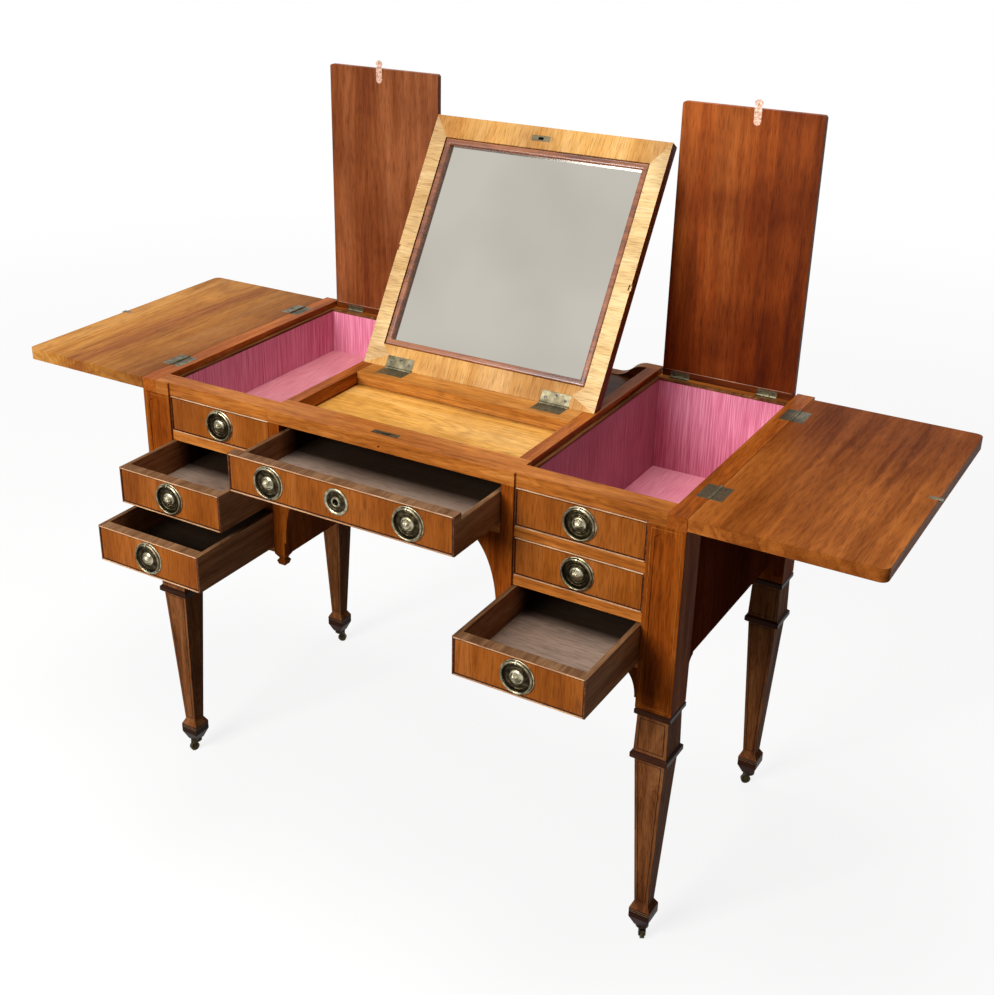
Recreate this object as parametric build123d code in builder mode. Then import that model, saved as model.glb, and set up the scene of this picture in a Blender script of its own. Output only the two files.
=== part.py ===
from build123d import *
from math import atan2, cos, degrees, radians, sin
import os

os.makedirs("parts", exist_ok=True)

# A poudreuse dressing table, standing open: leaves out level, flaps and mirror up, four drawers
# pulled. Origin on the floor under the middle of the box that it fills. +X is the sitter's right,
# +Y the back, +Z up. Millimetres.

# ---- Carcase ----
width = 1020.0              # over the corner posts
depth = 542.0               # from the post faces to the back
top_height = 790.0          # fixed top surface above the floor
post = 58.0                 # square corner post
frame_thick = 22.5          # top frame rails, from the fixed top down
centre_half = 211.0         # half the clear width between the two dividers
divider_thick = 22.0        # full-height panels beside the kneehole
bay_setback = 4.0           # drawer bays lie this far behind the posts and the centre
bay_rail_depth = 33.0       # front rails of the bays, front to back
centre_rail_depth = 54.0    # front rail before the mirror recess
end_rail_width = 30.0       # top rails along the two ends
end_panel_thick = 12.0
end_panel_setback = 5.0     # end panels lie behind the outer post faces
end_panel_lift = 5.0        # end panels' lower edge above that of the drawers' foot rail
back_thick = 12.0
back_lap = 11.0             # back panel below the long drawer, behind the kneehole
back_rail_width = 45.0      # from the fixed top down to the back panel
back_rail_depth = 24.0
dip_depth = 24.0            # low middle of the back rail, where the mirror stands
dip_inset = 6.0             # from its upper end to the divider
dip_slope = 55.0
glue_gap = 0.1              # between pieces glued face to face
seat_gap = 0.3              # between pieces that rest on or slide along each other

# ---- Drawer rows ----
row_height = 66.5
row_rail = 17.0             # rails between the rows
foot_rail = 12.0            # rail under the lowest row
front_thick = 18.0
bead = 3.0                  # cock bead round each front
bead_proud = 1.5
bead_bevel = 0.8
side_thick = 8.0
drawer_length = 440.0
bottom_thick = 6.0
bottom_raise = 5.0          # underside of a drawer's bottom above its lower edge
centre_side_drop = 12.0     # long drawer's sides stop below the top of its front
drawer_play = 0.8           # at each side and over the top of a drawer
tail_lap = 5.0              # wood left before the dovetails in a front
tail_narrow = 9.0
tail_wide = 14.0
tail_count = 3
runner_height = 12.0
runner_width = 12.0
guide_width = 16.0
guide_height = 30.0
pull_left_upper = 135.0     # how far each drawer stands open
pull_left_lower = 195.0
pull_right = 178.0
pull_centre = 131.0

# ---- Brackets and drops ----
bracket_web = 4.0           # wood left at the ends of a concave bracket
bay_bracket = (32.0, 52.0)  # width and drop of the brackets beside the front posts
end_bracket = (26.0, 57.0)
spandrel = (76.0, 136.0)    # quarter arches under the long drawer
bracket_thick = 14.0
pendant_stages = ((0.0, 1.0), (9.0, 0.5), (14.0, 0.8), (21.0, 0.6))     # drop and share of the top

# ---- Legs: lengths down from the drawers, heights up from the floor, half sides of the square ----
post_drop = 66.0            # square post below the drawers' foot rail
upper_collar = 13.0
upper_collar_half = 29.8
leg_block = 66.0            # between the two collars
block_top_half = 25.5
block_foot_half = 27.2
lower_collar = 14.0
lower_collar_half = 31.2
collar_bevel = 3.0
shank_half = 25.0
ankle_height = 75.0
ankle_half = 12.0
toe_top = 64.0
toe_low = 46.0
toe_half = 18.0
toe_foot = 27.0
toe_foot_half = 10.0
panel_width = 36.0          # sunk panel with an arched head on each front post
panel_rise = 9.0
panel_margin = 11.0
panel_sink = 1.2

# ---- Wells, their linings and flaps ----
lining = 6.4                # silk covered boards
lipping = 4.0               # bare wooden edge on top of the lining
floor_thick = 6.0
floor_lift = 2.0            # lining floor above the underside of the rail before it
flap_thick = 10.2
flap_length = 477.0
flap_corner = 5.0           # rounding of the free corners
flap_inset = 4.0            # flap edge from the divider
flap_end_inset = 3.0        # and from the end rail
flap_back_inset = 1.5       # standing flap from the back of the carcase
flap_sink = 0.5             # closed flap below the fixed top
flap_clamp = 12.5           # cross-grained strip at the foot of each flap
tab_offset = 9.0            # finger tab's middle, outwards from the flap's
tab_width = 13.0
tab_reach = 14.5            # stands past the flap's free edge
tab_plate = 20.0
tab_thick = 1.6
tab_bevel = 4.0             # corners of the finger tab
tab_waist = 4.0             # notch at each side of its foot

# ---- Leaves ----
leaf_thick = 20.5
leaf_corner = 12.0
leaf_gap = 0.4              # wood to hinge axis
centre_gap = 1.4            # between a closed leaf and the closed lid
leaf_back_gap = 13.0        # leaves stop short of the back, to miss a standing flap
catch_y = 253.0             # edge catch, behind the post faces
catch_plate = 14.0
catch_reach = 5.0
catch_width = 9.0
catch_thick = 2.4
catch_play = 0.8

# ---- Mirror lid and its carriage ----
lid_lap = 18.5              # lid's edges lie on the dividers
lid_length = 470.0
lean = 32.0                 # degrees behind the vertical
lid_board = 8.0
lid_side = 30.0
lid_end = 40.0
glass_thick = 3.0
mould_width = 12.0          # rounded moulding that holds the glass
mould_round = 4.0
mould_sink = 0.4
pivot_y = 271.0             # the lid's hinge axis behind the post faces, as it stands
recess_depth = 25.0
recess_thick = 8.0
carriage_rail = 48.0        # before the hinge axis
carriage_seat = 26.0        # behind it, under the standing lid
carriage_tail = 46.5
tail_thick = 8.0
carriage_play = 0.6
nosing = 11.0
nosing_proud = 3.0
nosing_round = 4.6
tongue = 4.0
tongue_thick = 3.7
tongue_play = 0.4

# ---- Hinges: length along the pin and plate width ----
axis_lift = 0.15            # axes above the faces that the plates are let into
barrel = 2.3
barrel_sides = 12
barrel_gap = 0.3
hinge_plate = 1.6
knuckle_gap = 0.15
leaf_hinge = (50.0, 20.0)
flap_hinge = (36.0, 10.0)
lid_hinge = (55.0, 22.0)
carriage_hinge = (55.0, 32.0)
leaf_hinge_inset = 99.0     # hinge middle from the ends of the carcase
flap_hinge_inset = (37.0, 50.0)     # from the divider and from the end rail
lid_hinge_inset = 74.5      # from the lid's edge

# ---- Locks ----
lock_x = -12.0
lock_y = 21.0               # behind the post faces
lock_plate = (50.0, 13.0, 1.6)
lock_case = (40.0, 9.0, 15.0)
strike = (36.0, 10.0, 1.4)
key_hole = 1.8
rail_key_drop = 15.0        # keyhole below the fixed top
drawer_lock = (44.0, 6.0, 34.0)

# ---- Ring handles ----
rose = 28.4                 # radius of the round plate
rose_thick = 1.4
rose_sides = 20             # round brass is drawn with flat sides, as there is so much of it
ring_radius = 24.8          # centre line of the ring
ring_wire = 1.9
ring_bevel = 1.1
ring_play = 0.3
boss_sides = 16
boss_stages = ((0.0, 11.8), (6.0, 8.8), (9.0, 2.5))     # height above the plate and half width
lug_width = 3.0
lug_wall = 0.8
bay_handle_drop = 33.2      # handle centre below the top of its front
centre_handle_inset = 81.0  # from the ends of the long drawer
escutcheon = 22.5
escutcheon_rise = 1.5
keyway = (3.0, 3.4, 11.0)   # head radius, slot width and length

# ---- Castors ----
wheel_radius = 9.0
wheel_width = 7.0
trail = 5.0
crown_low = 22.0
crown_radius = 11.0
stem_radius = 3.0
stem_length = 22.0
stem_play = 0.05
stem_room = 1.0             # over the stem's end
cheek = 2.0
cheek_half = 4.5
cheek_bevel = 2.5
axle_radius = 1.5
castor_turn = {"front_left": 250.0, "front_right": 300.0, "rear_left": 20.0, "rear_right": 215.0}

# ---- Worked out ----
half = width / 2
handle_proud = glue_gap + rose_thick + boss_stages[-1][0]
deepest = depth - bay_setback + pull_left_lower + handle_proud
back = deepest / 2
front = back - depth
bay_face = front + bay_setback
bay_in = centre_half + divider_thick
bay_out = half - post
frame_low = top_height - frame_thick
back_top = top_height - back_rail_width
dip_low = top_height - dip_depth
dip_end = centre_half - dip_inset
dip_half = dip_end - dip_slope
row_low = [frame_low - (i + 1) * row_height - i * row_rail for i in range(3)]
pedestal_foot = row_low[2] - foot_rail
back_foot_centre = row_low[0] - back_lap
post_foot = pedestal_foot - post_drop
upper_collar_low = post_foot - upper_collar
lower_collar_top = upper_collar_low - leg_block
lower_collar_low = lower_collar_top - lower_collar
bay_rail_back = bay_face + bay_rail_depth
centre_rail_back = front + centre_rail_depth
end_rail_in = half - end_rail_width
end_panel_out = half - end_panel_setback
end_panel_in = end_panel_out - end_panel_thick
end_panel_foot = pedestal_foot + end_panel_lift
back_face = back - back_thick
back_rail_face = back - back_rail_depth
leg_in = half - post / 2
leg_y = {"front": front + post / 2, "rear": back - post / 2}
leaf_hinge_y = (front + leaf_hinge_inset, back - leaf_hinge_inset)
flap_in = bay_in + flap_inset
flap_out = end_rail_in - flap_end_inset
tab_x = (flap_in + flap_out) / 2 + tab_offset
flap_hinge_x = (bay_in + flap_hinge_inset[0], end_rail_in - flap_hinge_inset[1])
flap_y = back - flap_back_inset - flap_thick - axis_lift
flap_z = top_height - flap_sink - flap_thick - axis_lift
ledge = flap_z - axis_lift
leaf_x = half + leaf_gap
axis_z = top_height + axis_lift
lid_half = centre_half + lid_lap
lid_hinge_x = lid_half - lid_hinge_inset
leaf_width = leaf_x - leaf_gap - lid_half - centre_gap
lid_y = front + pivot_y
recess_top = top_height - recess_depth
slide_travel = lid_length + leaf_gap - pivot_y
SIDES = {"left": -1, "right": 1}
# The silk well reaches down behind the false fronts, one at the left and two at the right.
false_rows = {"left": row_low[:1], "right": row_low[:2]}
well_floor = {s: rows[-1] - row_rail + floor_lift + floor_thick for s, rows in false_rows.items()}


def board(x, y, z, mode=Mode.ADD):
    """One straight board between the two values of each pair, in either order."""
    with Locations((sum(x) / 2, sum(y) / 2, sum(z) / 2)):
        Box(abs(x[1] - x[0]), abs(y[1] - y[0]), abs(z[1] - z[0]), mode=mode)


def upright(origin, run):
    """Upright plane: its x axis runs level along run, its y axis points up."""
    return Plane(origin=origin, x_dir=run, z_dir=(run[1], -run[0], 0))


def keep(piece, name):
    """Label a finished piece and write its STEP file."""
    piece.part.label = name
    export_step(piece.part, f"parts/{name}.step")


def bracket(corner, run, size, thick):
    """Concave bracket that fills the corner below a rail and beside an upright."""
    with BuildSketch(upright(corner, run)) as outline:
        with Locations((size[0] / 2, -size[1] / 2)):
            Rectangle(*size)
        with Locations((size[0], -size[1])):
            Ellipse(size[0] - bracket_web, size[1] - bracket_web, mode=Mode.SUBTRACT)
    extrude(outline.sketch, amount=thick / 2, both=True)


def square_taper(x, y, *ends):
    """Tapering square length, drawn from its wide end. Each end is its half side and its height."""
    (narrow, narrow_z), (wide, wide_z) = sorted(ends)
    run = narrow_z - wide_z
    with BuildSketch(Plane((x, y, wide_z), z_dir=(0, 0, run))) as section:
        Rectangle(2 * wide, 2 * wide)
    extrude(section.sketch, amount=abs(run), taper=degrees(atan2(wide - narrow, abs(run))))


# ---- Butt hinges ----
# In a hinge's plane x runs along the pin, y from the pin across the plate, z out of the wood.
# The pin is hidden in the knuckles, which are solid.
def hinge_half(plane, size, outer):
    """Plate with its knuckles: the two outer ones, or the middle one."""
    length, plate = size
    third = length / 3
    edge = barrel + barrel_gap
    middle = -axis_lift - hinge_plate / 2
    with BuildPart(plane) as leaf:
        with Locations((0, (edge + plate) / 2, middle)):
            Box(length, plate - edge, hinge_plate)
        for x in (-third, third) if outer else (0,):
            with Locations((x, edge / 2, middle)):
                Box(third - 2 * knuckle_gap, edge, hinge_plate)
            with BuildSketch(plane * Plane.YZ.offset(x)) as knuckle:
                RegularPolygon(barrel, barrel_sides)
            extrude(knuckle.sketch, amount=third / 2 - knuckle_gap, both=True)
    return leaf.part


def hinge_pocket(plane, size):
    """What is cut from the wood for one plate and for the barrel."""
    length, plate = size
    sink = axis_lift + hinge_plate + glue_gap
    with BuildPart(plane) as pocket:
        with Locations((0, (plate + glue_gap) / 2, -sink / 2)):
            Box(length + 2 * glue_gap, plate + glue_gap, sink)
        with BuildSketch(plane * Plane.YZ) as clearance:
            RegularPolygon(barrel + 1.5 * barrel_gap, barrel_sides)
        extrude(clearance.sketch, amount=length / 2 + barrel_gap, both=True)
    return pocket.part


def leaf_hinge_planes(side, y):
    """Planes of the fixed and the moving half of one leaf hinge."""
    spot = (side * leaf_x, y, axis_z)
    return Plane(spot, x_dir=(0, side, 0)), Plane(spot, x_dir=(0, -side, 0))


def flap_hinge_planes(side, x):
    """Planes of the fixed and the moving half of one flap hinge, with the flap upright."""
    spot = (side * x, flap_y, flap_z)
    return Plane(spot, x_dir=(-1, 0, 0)), Plane(spot, x_dir=(1, 0, 0), z_dir=(0, -1, 0))


# Plane of the standing lid: y runs up the mirror from the hinge axis, z out of its face.
tilt = radians(lean)
lid_plane = Plane((0, lid_y, axis_z), x_dir=(1, 0, 0), z_dir=(0, -cos(tilt), sin(tilt)))


# ---- Corner posts and legs: one timber each, from the top frame to the castor ----
def leg(side, end, floor_level):
    x, y = side * leg_in, leg_y[end]
    with BuildPart() as timber:
        board((x - post / 2, x + post / 2), (y - post / 2, y + post / 2), (post_foot, frame_low - glue_gap))
        # The inner corner is cut away round the silk lining.
        lining_y = bay_rail_back if end == "front" else back_rail_face
        far_y = y + post / 2 if end == "front" else y - post / 2
        corner_x = (side * bay_out, side * end_rail_in)
        board(corner_x, (lining_y, far_y), (floor_level, frame_low), Mode.SUBTRACT)
        if end == "front":
            spring = frame_low - post_foot - panel_margin - panel_rise
            with BuildSketch(upright((x, front, post_foot), (1, 0, 0))):
                with BuildLine():
                    Polyline(
                        (-panel_width / 2, spring),
                        (-panel_width / 2, panel_margin),
                        (panel_width / 2, panel_margin),
                        (panel_width / 2, spring),
                    )
                    crown = (0, spring + panel_rise)
                    ThreePointArc((panel_width / 2, spring), crown, (-panel_width / 2, spring))
                make_face()
            extrude(amount=-panel_sink, mode=Mode.SUBTRACT)
        square_taper(x, y, (block_top_half, upper_collar_low), (block_foot_half, lower_collar_top))
        shank = (
            (shank_half, lower_collar_low),
            (ankle_half, ankle_height),
            (toe_half, toe_top),
            (toe_half, toe_low),
            (toe_foot_half, toe_foot),
        )
        for upper, lower in zip(shank, shank[1:]):
            square_taper(x, y, upper, lower)
        with Locations((x, y, toe_foot)):
            Cylinder(stem_radius + stem_play, 2 * (stem_length + stem_room), mode=Mode.SUBTRACT)
    with BuildPart() as collars:
        for low, high, collar_half in (
            (upper_collar_low, post_foot, upper_collar_half),
            (lower_collar_low, lower_collar_top, lower_collar_half),
        ):
            board((x - collar_half, x + collar_half), (y - collar_half, y + collar_half), (low, high))
        chamfer(collars.edges().filter_by(Axis.Z, reverse=True), collar_bevel)
    timber.part = timber.part + collars.part
    return timber


for side_name, side in SIDES.items():
    for end in leg_y:
        notch_low = well_floor[side_name] - floor_thick - glue_gap
        keep(leg(side, end, notch_low), f"leg_{end}_{side_name}")

# ---- Ends: a panel with brackets in its lower corners, and the rail that the leaf hangs on ----
for side_name, side in SIDES.items():
    pockets = [hinge_pocket(leaf_hinge_planes(side, y)[0], leaf_hinge) for y in leaf_hinge_y]
    panel_x = (side * end_panel_in, side * end_panel_out)
    panel_y = (front + post + glue_gap, back - post - glue_gap)
    with BuildPart() as end_frame:
        board(panel_x, panel_y, (end_panel_foot, frame_low - glue_gap))
        for y, run in zip(panel_y, (1, -1)):
            bracket((sum(panel_x) / 2, y, end_panel_foot), (0, run, 0), end_bracket, end_panel_thick)
        board((side * end_rail_in, side * half), (front, back), (frame_low, top_height))
        add(pockets, mode=Mode.SUBTRACT)
    keep(end_frame, f"end_{side_name}")

# ---- Front rail: breaks forward over the posts and the centre, and holds the lid's lock ----
lock_spot = front + lock_y
case_low = top_height - lock_plate[2] - lock_case[2]
with BuildPart() as front_rail:
    with BuildSketch(Plane.XY.offset(frame_low)):
        with BuildLine():
            rail_end = end_rail_in - glue_gap
            Polyline(
                (0, front),
                (bay_in, front),
                (bay_in, bay_face),
                (bay_out, bay_face),
                (bay_out, front),
                (rail_end, front),
                (rail_end, bay_rail_back),
                (bay_in, bay_rail_back),
                (bay_in, centre_rail_back),
                (0, centre_rail_back),
                close=True,
            )
        make_face()
        mirror(about=Plane.YZ)
    extrude(amount=frame_thick)
    for size, low in ((lock_plate, top_height - lock_plate[2]), (lock_case, case_low)):
        across = size[0] / 2 + glue_gap
        along = size[1] / 2 + glue_gap
        board(
            (lock_x - across, lock_x + across),
            (lock_spot - along, lock_spot + along),
            (low - glue_gap, top_height),
            Mode.SUBTRACT,
        )
    with Locations(Location((lock_x, front + lock_y / 2, top_height - rail_key_drop), (90, 0, 0))):
        Cylinder(key_hole, lock_y, mode=Mode.SUBTRACT)
keep(front_rail, "top_rail_front")

with BuildPart() as lid_lock:
    for size, low, high in (
        (lock_plate, top_height - lock_plate[2], top_height),
        (lock_case, case_low, top_height - lock_plate[2]),
    ):
        board(
            (lock_x - size[0] / 2, lock_x + size[0] / 2),
            (lock_spot - size[1] / 2, lock_spot + size[1] / 2),
            (low, high),
        )
keep(lid_lock, "lid_lock")

# ---- Back: panel open behind the kneehole, and the back rail with its dip ----
pockets = [hinge_pocket(flap_hinge_planes(side, x)[0], flap_hinge) for side in (-1, 1) for x in flap_hinge_x]
with BuildPart() as back_frame:
    with BuildSketch(upright((0, back_face, 0), (1, 0, 0))):
        with BuildLine():
            Polyline(
                (0, back_foot_centre),
                (centre_half, back_foot_centre),
                (centre_half, pedestal_foot),
                (bay_out - glue_gap, pedestal_foot),
                (bay_out - glue_gap, back_top),
                (0, back_top),
                close=True,
            )
        make_face()
        mirror(about=Plane.YZ)
    extrude(amount=-back_thick)
    with BuildSketch(upright((0, back_rail_face, 0), (1, 0, 0))):
        with BuildLine():
            bow = (dip_half + dip_end) / 2
            rise = (dip_low + top_height) / 2
            Polyline(
                (0, dip_low),
                (0, back_top + glue_gap),
                (bay_out - glue_gap, back_top + glue_gap),
                (bay_out - glue_gap, frame_low),
                (end_rail_in - glue_gap, frame_low),
                (end_rail_in - glue_gap, ledge),
                (bay_in, ledge),
                (bay_in, top_height),
                (dip_end, top_height),
            )
            TangentArc((dip_end, top_height), (bow, rise), tangent=(-1, 0))
            TangentArc((dip_half, dip_low), (bow, rise), tangent=(1, 0))
            Line((dip_half, dip_low), (0, dip_low))
        make_face()
        mirror(about=Plane.YZ)
    extrude(amount=-back_rail_depth)
    add(pockets, mode=Mode.SUBTRACT)
keep(back_frame, "back")

# ---- Dividers: the kneehole's walls, with a pendant below each front stile ----
groove_front = lid_y - carriage_rail - tongue
for side_name, side in SIDES.items():
    with BuildPart() as divider:
        with BuildSketch(upright((side * (bay_in + centre_half) / 2, 0, 0), (0, 1, 0))):
            with BuildLine():
                Polyline(
                    (front, pedestal_foot),
                    (back_face - glue_gap, pedestal_foot),
                    (back_face - glue_gap, back_top),
                    (back_rail_face - glue_gap, back_top),
                    (back_rail_face - glue_gap, top_height),
                    (centre_rail_back + glue_gap, top_height),
                    (centre_rail_back + glue_gap, frame_low - glue_gap),
                    (front, frame_low - glue_gap),
                    close=True,
                )
            make_face()
        extrude(amount=divider_thick / 2, both=True)
        groove_out = centre_half + tongue + tongue_play
        groove_high = recess_top + tongue_thick + seat_gap + tongue_play
        board(
            (side * centre_half, side * groove_out),
            (groove_front, back_rail_face),
            (recess_top, groove_high),
            Mode.SUBTRACT,
        )
        pendant = [(divider_thick / 2 * share, pedestal_foot - drop) for drop, share in pendant_stages]
        for upper, lower in zip(pendant, pendant[1:]):
            square_taper(side * (bay_in + centre_half) / 2, front + divider_thick / 2, upper, lower)
    keep(divider, f"divider_{side_name}")

# ---- Rails between the drawers, brackets and quarter arches ----
inner = bay_in + glue_gap
outer = bay_out - glue_gap
with BuildPart() as drawer_rails:
    for side in SIDES.values():
        for low, high in (
            (row_low[0] - row_rail, row_low[0]),
            (row_low[1] - row_rail, row_low[1]),
            (pedestal_foot, row_low[2]),
        ):
            board((side * inner, side * outer), (bay_face, bay_rail_back), (low, high))
    centre = centre_half - glue_gap
    board((-centre, centre), (front, bay_rail_back), (row_low[0] - row_rail, row_low[0]))
keep(drawer_rails, "drawer_rails")

bay_bracket_y = bay_face + bracket_thick / 2
arch_y = front + bracket_thick / 2
with BuildPart() as brackets:
    for side in SIDES.values():
        bay_corner = (side * outer, bay_bracket_y, pedestal_foot - glue_gap)
        bracket(bay_corner, (-side, 0, 0), bay_bracket, bracket_thick)
        arch_corner = (side * centre, arch_y, row_low[0] - row_rail - glue_gap)
        bracket(arch_corner, (-side, 0, 0), spandrel, bracket_thick)
keep(brackets, "brackets")


# ---- Drawer fronts ----
def beaded_front(x, face, z):
    """Front board with a bevelled cock bead standing proud round its edge."""
    with BuildPart() as fascia:
        board(x, (face, face + front_thick), z)
        with BuildSketch(upright((sum(x) / 2, face, sum(z) / 2), (1, 0, 0))):
            Rectangle(x[1] - x[0], z[1] - z[0])
            Rectangle(x[1] - x[0] - 2 * bead, z[1] - z[0] - 2 * bead, mode=Mode.SUBTRACT)
        extrude(amount=bead_proud)
        chamfer(fascia.faces().sort_by(Axis.Y)[0].edges(), bead_bevel)
    return fascia.part


false_boards = [
    beaded_front(x, bay_face, (low + glue_gap, low + row_height - glue_gap))
    for x, rows in (((-outer, -inner), false_rows["left"]), ((inner, outer), false_rows["right"]))
    for low in rows
]
with BuildPart() as false_fronts:
    add(false_boards)
keep(false_fronts, "false_fronts")


def dovetails(x, y, z, height, grow):
    """A row of tails along a drawer corner, grown by grow for the sockets they sit in."""
    reach = front_thick - tail_lap + grow
    narrow = tail_narrow / 2 + grow
    wide = tail_wide / 2 + grow
    with BuildSketch(upright((x, y, z), (0, -1, 0))) as tails:
        with Locations(*((0, (i + 0.5) * height / tail_count) for i in range(tail_count))):
            Polygon((0, -narrow), (reach, -wide), (reach, wide), (0, narrow), align=None)
    return tails.sketch


def drawer(left, right, face, low, side_drop):
    """Front, two dovetailed sides, back and bottom, as loose boards glued at their joints."""
    x = (left + drawer_play, right - drawer_play)
    z = (low + seat_gap, low + row_height - drawer_play)
    rear = face + front_thick
    end = face + drawer_length
    side_height = z[1] - side_drop - z[0]
    fascia = beaded_front(x, face, z)
    with BuildPart() as box:
        add(fascia)
        for outer_x, turn in zip(x, (1, -1)):
            middle = outer_x + turn * side_thick / 2
            sockets = dovetails(middle, rear, z[0], side_height, glue_gap)
            extrude(sockets, amount=side_thick / 2 + glue_gap, both=True, mode=Mode.SUBTRACT)
        for outer_x, turn in zip(x, (1, -1)):
            middle = outer_x + turn * side_thick / 2
            board((outer_x, outer_x + turn * side_thick), (rear + glue_gap, end), (z[0], z[0] + side_height))
            tails = dovetails(middle, rear + glue_gap, z[0], side_height, 0)
            extrude(tails, amount=side_thick / 2, both=True)
        within = (x[0] + side_thick + glue_gap, x[1] - side_thick - glue_gap)
        bottom_low = z[0] + bottom_raise
        bottom_high = bottom_low + bottom_thick
        board(within, (rear + glue_gap, end), (bottom_low, bottom_high))
        board(within, (end - side_thick, end), (bottom_high + glue_gap, z[0] + side_height))
    return box


bay_left = (-bay_out, -bay_in)
bay_right = (bay_in, bay_out)
drawers = {
    "left_upper": (bay_left, bay_face - pull_left_upper, row_low[1], 0.0),
    "left_lower": (bay_left, bay_face - pull_left_lower, row_low[2], 0.0),
    "right": (bay_right, bay_face - pull_right, row_low[2], 0.0),
    "centre": ((-centre_half, centre_half), front - pull_centre, row_low[0], centre_side_drop),
}


def keyhole(x, z, face, thick):
    """Keyhole through a drawer front or its plate, cut from the front face backwards."""
    head, slot, length = keyway
    with BuildSketch(upright((x, face, z), (1, 0, 0))) as hole:
        with Locations((0, length / 2 - head)):
            Circle(head)
        Rectangle(slot, length - head)
    extrude(hole.sketch, amount=-thick, mode=Mode.SUBTRACT)


centre_face = drawers["centre"][1]
key_z = row_low[0] + row_height - bay_handle_drop + escutcheon_rise
for name, ((left, right), face, low, side_drop) in drawers.items():
    box = drawer(left, right, face, low, side_drop)
    if name == "centre":
        with box:
            keyhole(0, key_z, face, front_thick)
    keep(box, f"drawer_{name}")

# ---- Runners: under each drawer, with a guide beside the outer one ----
guide_y = (front + post + glue_gap, back - post - glue_gap)
runner_y = (bay_rail_back + glue_gap, back_face - glue_gap)
with BuildPart() as runners:
    for side, low in ((-1, row_low[1]), (-1, row_low[2]), (1, row_low[2])):
        z = (low - runner_height, low)
        board((side * inner, side * (inner + runner_width)), runner_y, z)
        board((side * (outer - runner_width), side * outer), runner_y, z)
        guide_x = (side * (bay_out + seat_gap), side * (bay_out + seat_gap + guide_width))
        board(guide_x, guide_y, (z[0], low + guide_height))
    for side in SIDES.values():
        z = (row_low[0] - runner_height, row_low[0])
        board((side * centre, side * (centre - runner_width)), runner_y, z)
keep(runners, "runners")

# ---- Mirror recess and silk linings ----
with BuildPart() as recess_panel:
    panel_y = (centre_rail_back + glue_gap, back_rail_face - glue_gap)
    board((-centre, centre), panel_y, (recess_top - recess_thick, recess_top))
keep(recess_panel, "recess_panel")

well_x = (bay_in + glue_gap, end_rail_in - glue_gap)
well_y = (bay_rail_back + glue_gap, back_rail_face - glue_gap)
for side_name, side in SIDES.items():
    floor = well_floor[side_name]
    cover = ledge - lipping
    with BuildPart() as silk:
        board((side * well_x[0], side * well_x[1]), well_y, (floor - floor_thick, floor))
        for z in ((floor + glue_gap, cover - glue_gap), (cover, ledge)):
            for x in ((well_x[0], well_x[0] + lining), (well_x[1] - lining, well_x[1])):
                board((side * x[0], side * x[1]), well_y, z)
            between = (side * (well_x[0] + lining + glue_gap), side * (well_x[1] - lining - glue_gap))
            for y in ((well_y[0], well_y[0] + lining), (well_y[1] - lining, well_y[1])):
                board(between, y, z)
    keep(silk, f"silk_lining_{side_name}")

# ---- Fixed hinge plates of the leaves and flaps ----
plates = []
for side in SIDES.values():
    plates += [hinge_half(leaf_hinge_planes(side, y)[0], leaf_hinge, True) for y in leaf_hinge_y]
    plates += [hinge_half(flap_hinge_planes(side, x)[0], flap_hinge, True) for x in flap_hinge_x]
with BuildPart() as hinge_plates:
    add(plates)
keep(hinge_plates, "hinge_plates")

# ---- Leaves, with a brass catch that enters the lid's edge when all is shut ----
catch_spot = front + catch_y
for side_name, side in SIDES.items():
    pockets = [hinge_pocket(leaf_hinge_planes(side, y)[1], leaf_hinge) for y in leaf_hinge_y]
    plates = [hinge_half(leaf_hinge_planes(side, y)[1], leaf_hinge, False) for y in leaf_hinge_y]
    leaf_in = leaf_x + leaf_gap
    leaf_out = leaf_in + leaf_width
    with BuildPart() as leaf:
        leaf_ends = (front, back - leaf_back_gap)
        board((side * leaf_in, side * leaf_out), leaf_ends, (top_height - leaf_thick, top_height))
        tips = leaf.edges().filter_by(Axis.Z).sort_by(lambda edge: side * edge.center().X)[-2:]
        fillet(tips, leaf_corner)
        add(pockets, mode=Mode.SUBTRACT)
        catch_half = catch_width / 2
        board(
            (side * (leaf_out - catch_plate - glue_gap), side * leaf_out),
            (catch_spot - catch_half - glue_gap, catch_spot + catch_half + glue_gap),
            (top_height - catch_thick - glue_gap, top_height),
            Mode.SUBTRACT,
        )
    keep(leaf, f"leaf_{side_name}")
    with BuildPart() as brass:
        add(plates)
        board(
            (side * (leaf_out - catch_plate), side * (leaf_out + catch_reach)),
            (catch_spot - catch_half, catch_spot + catch_half),
            (top_height - catch_thick, top_height),
        )
    keep(brass, f"leaf_{side_name}_brass")

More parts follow.
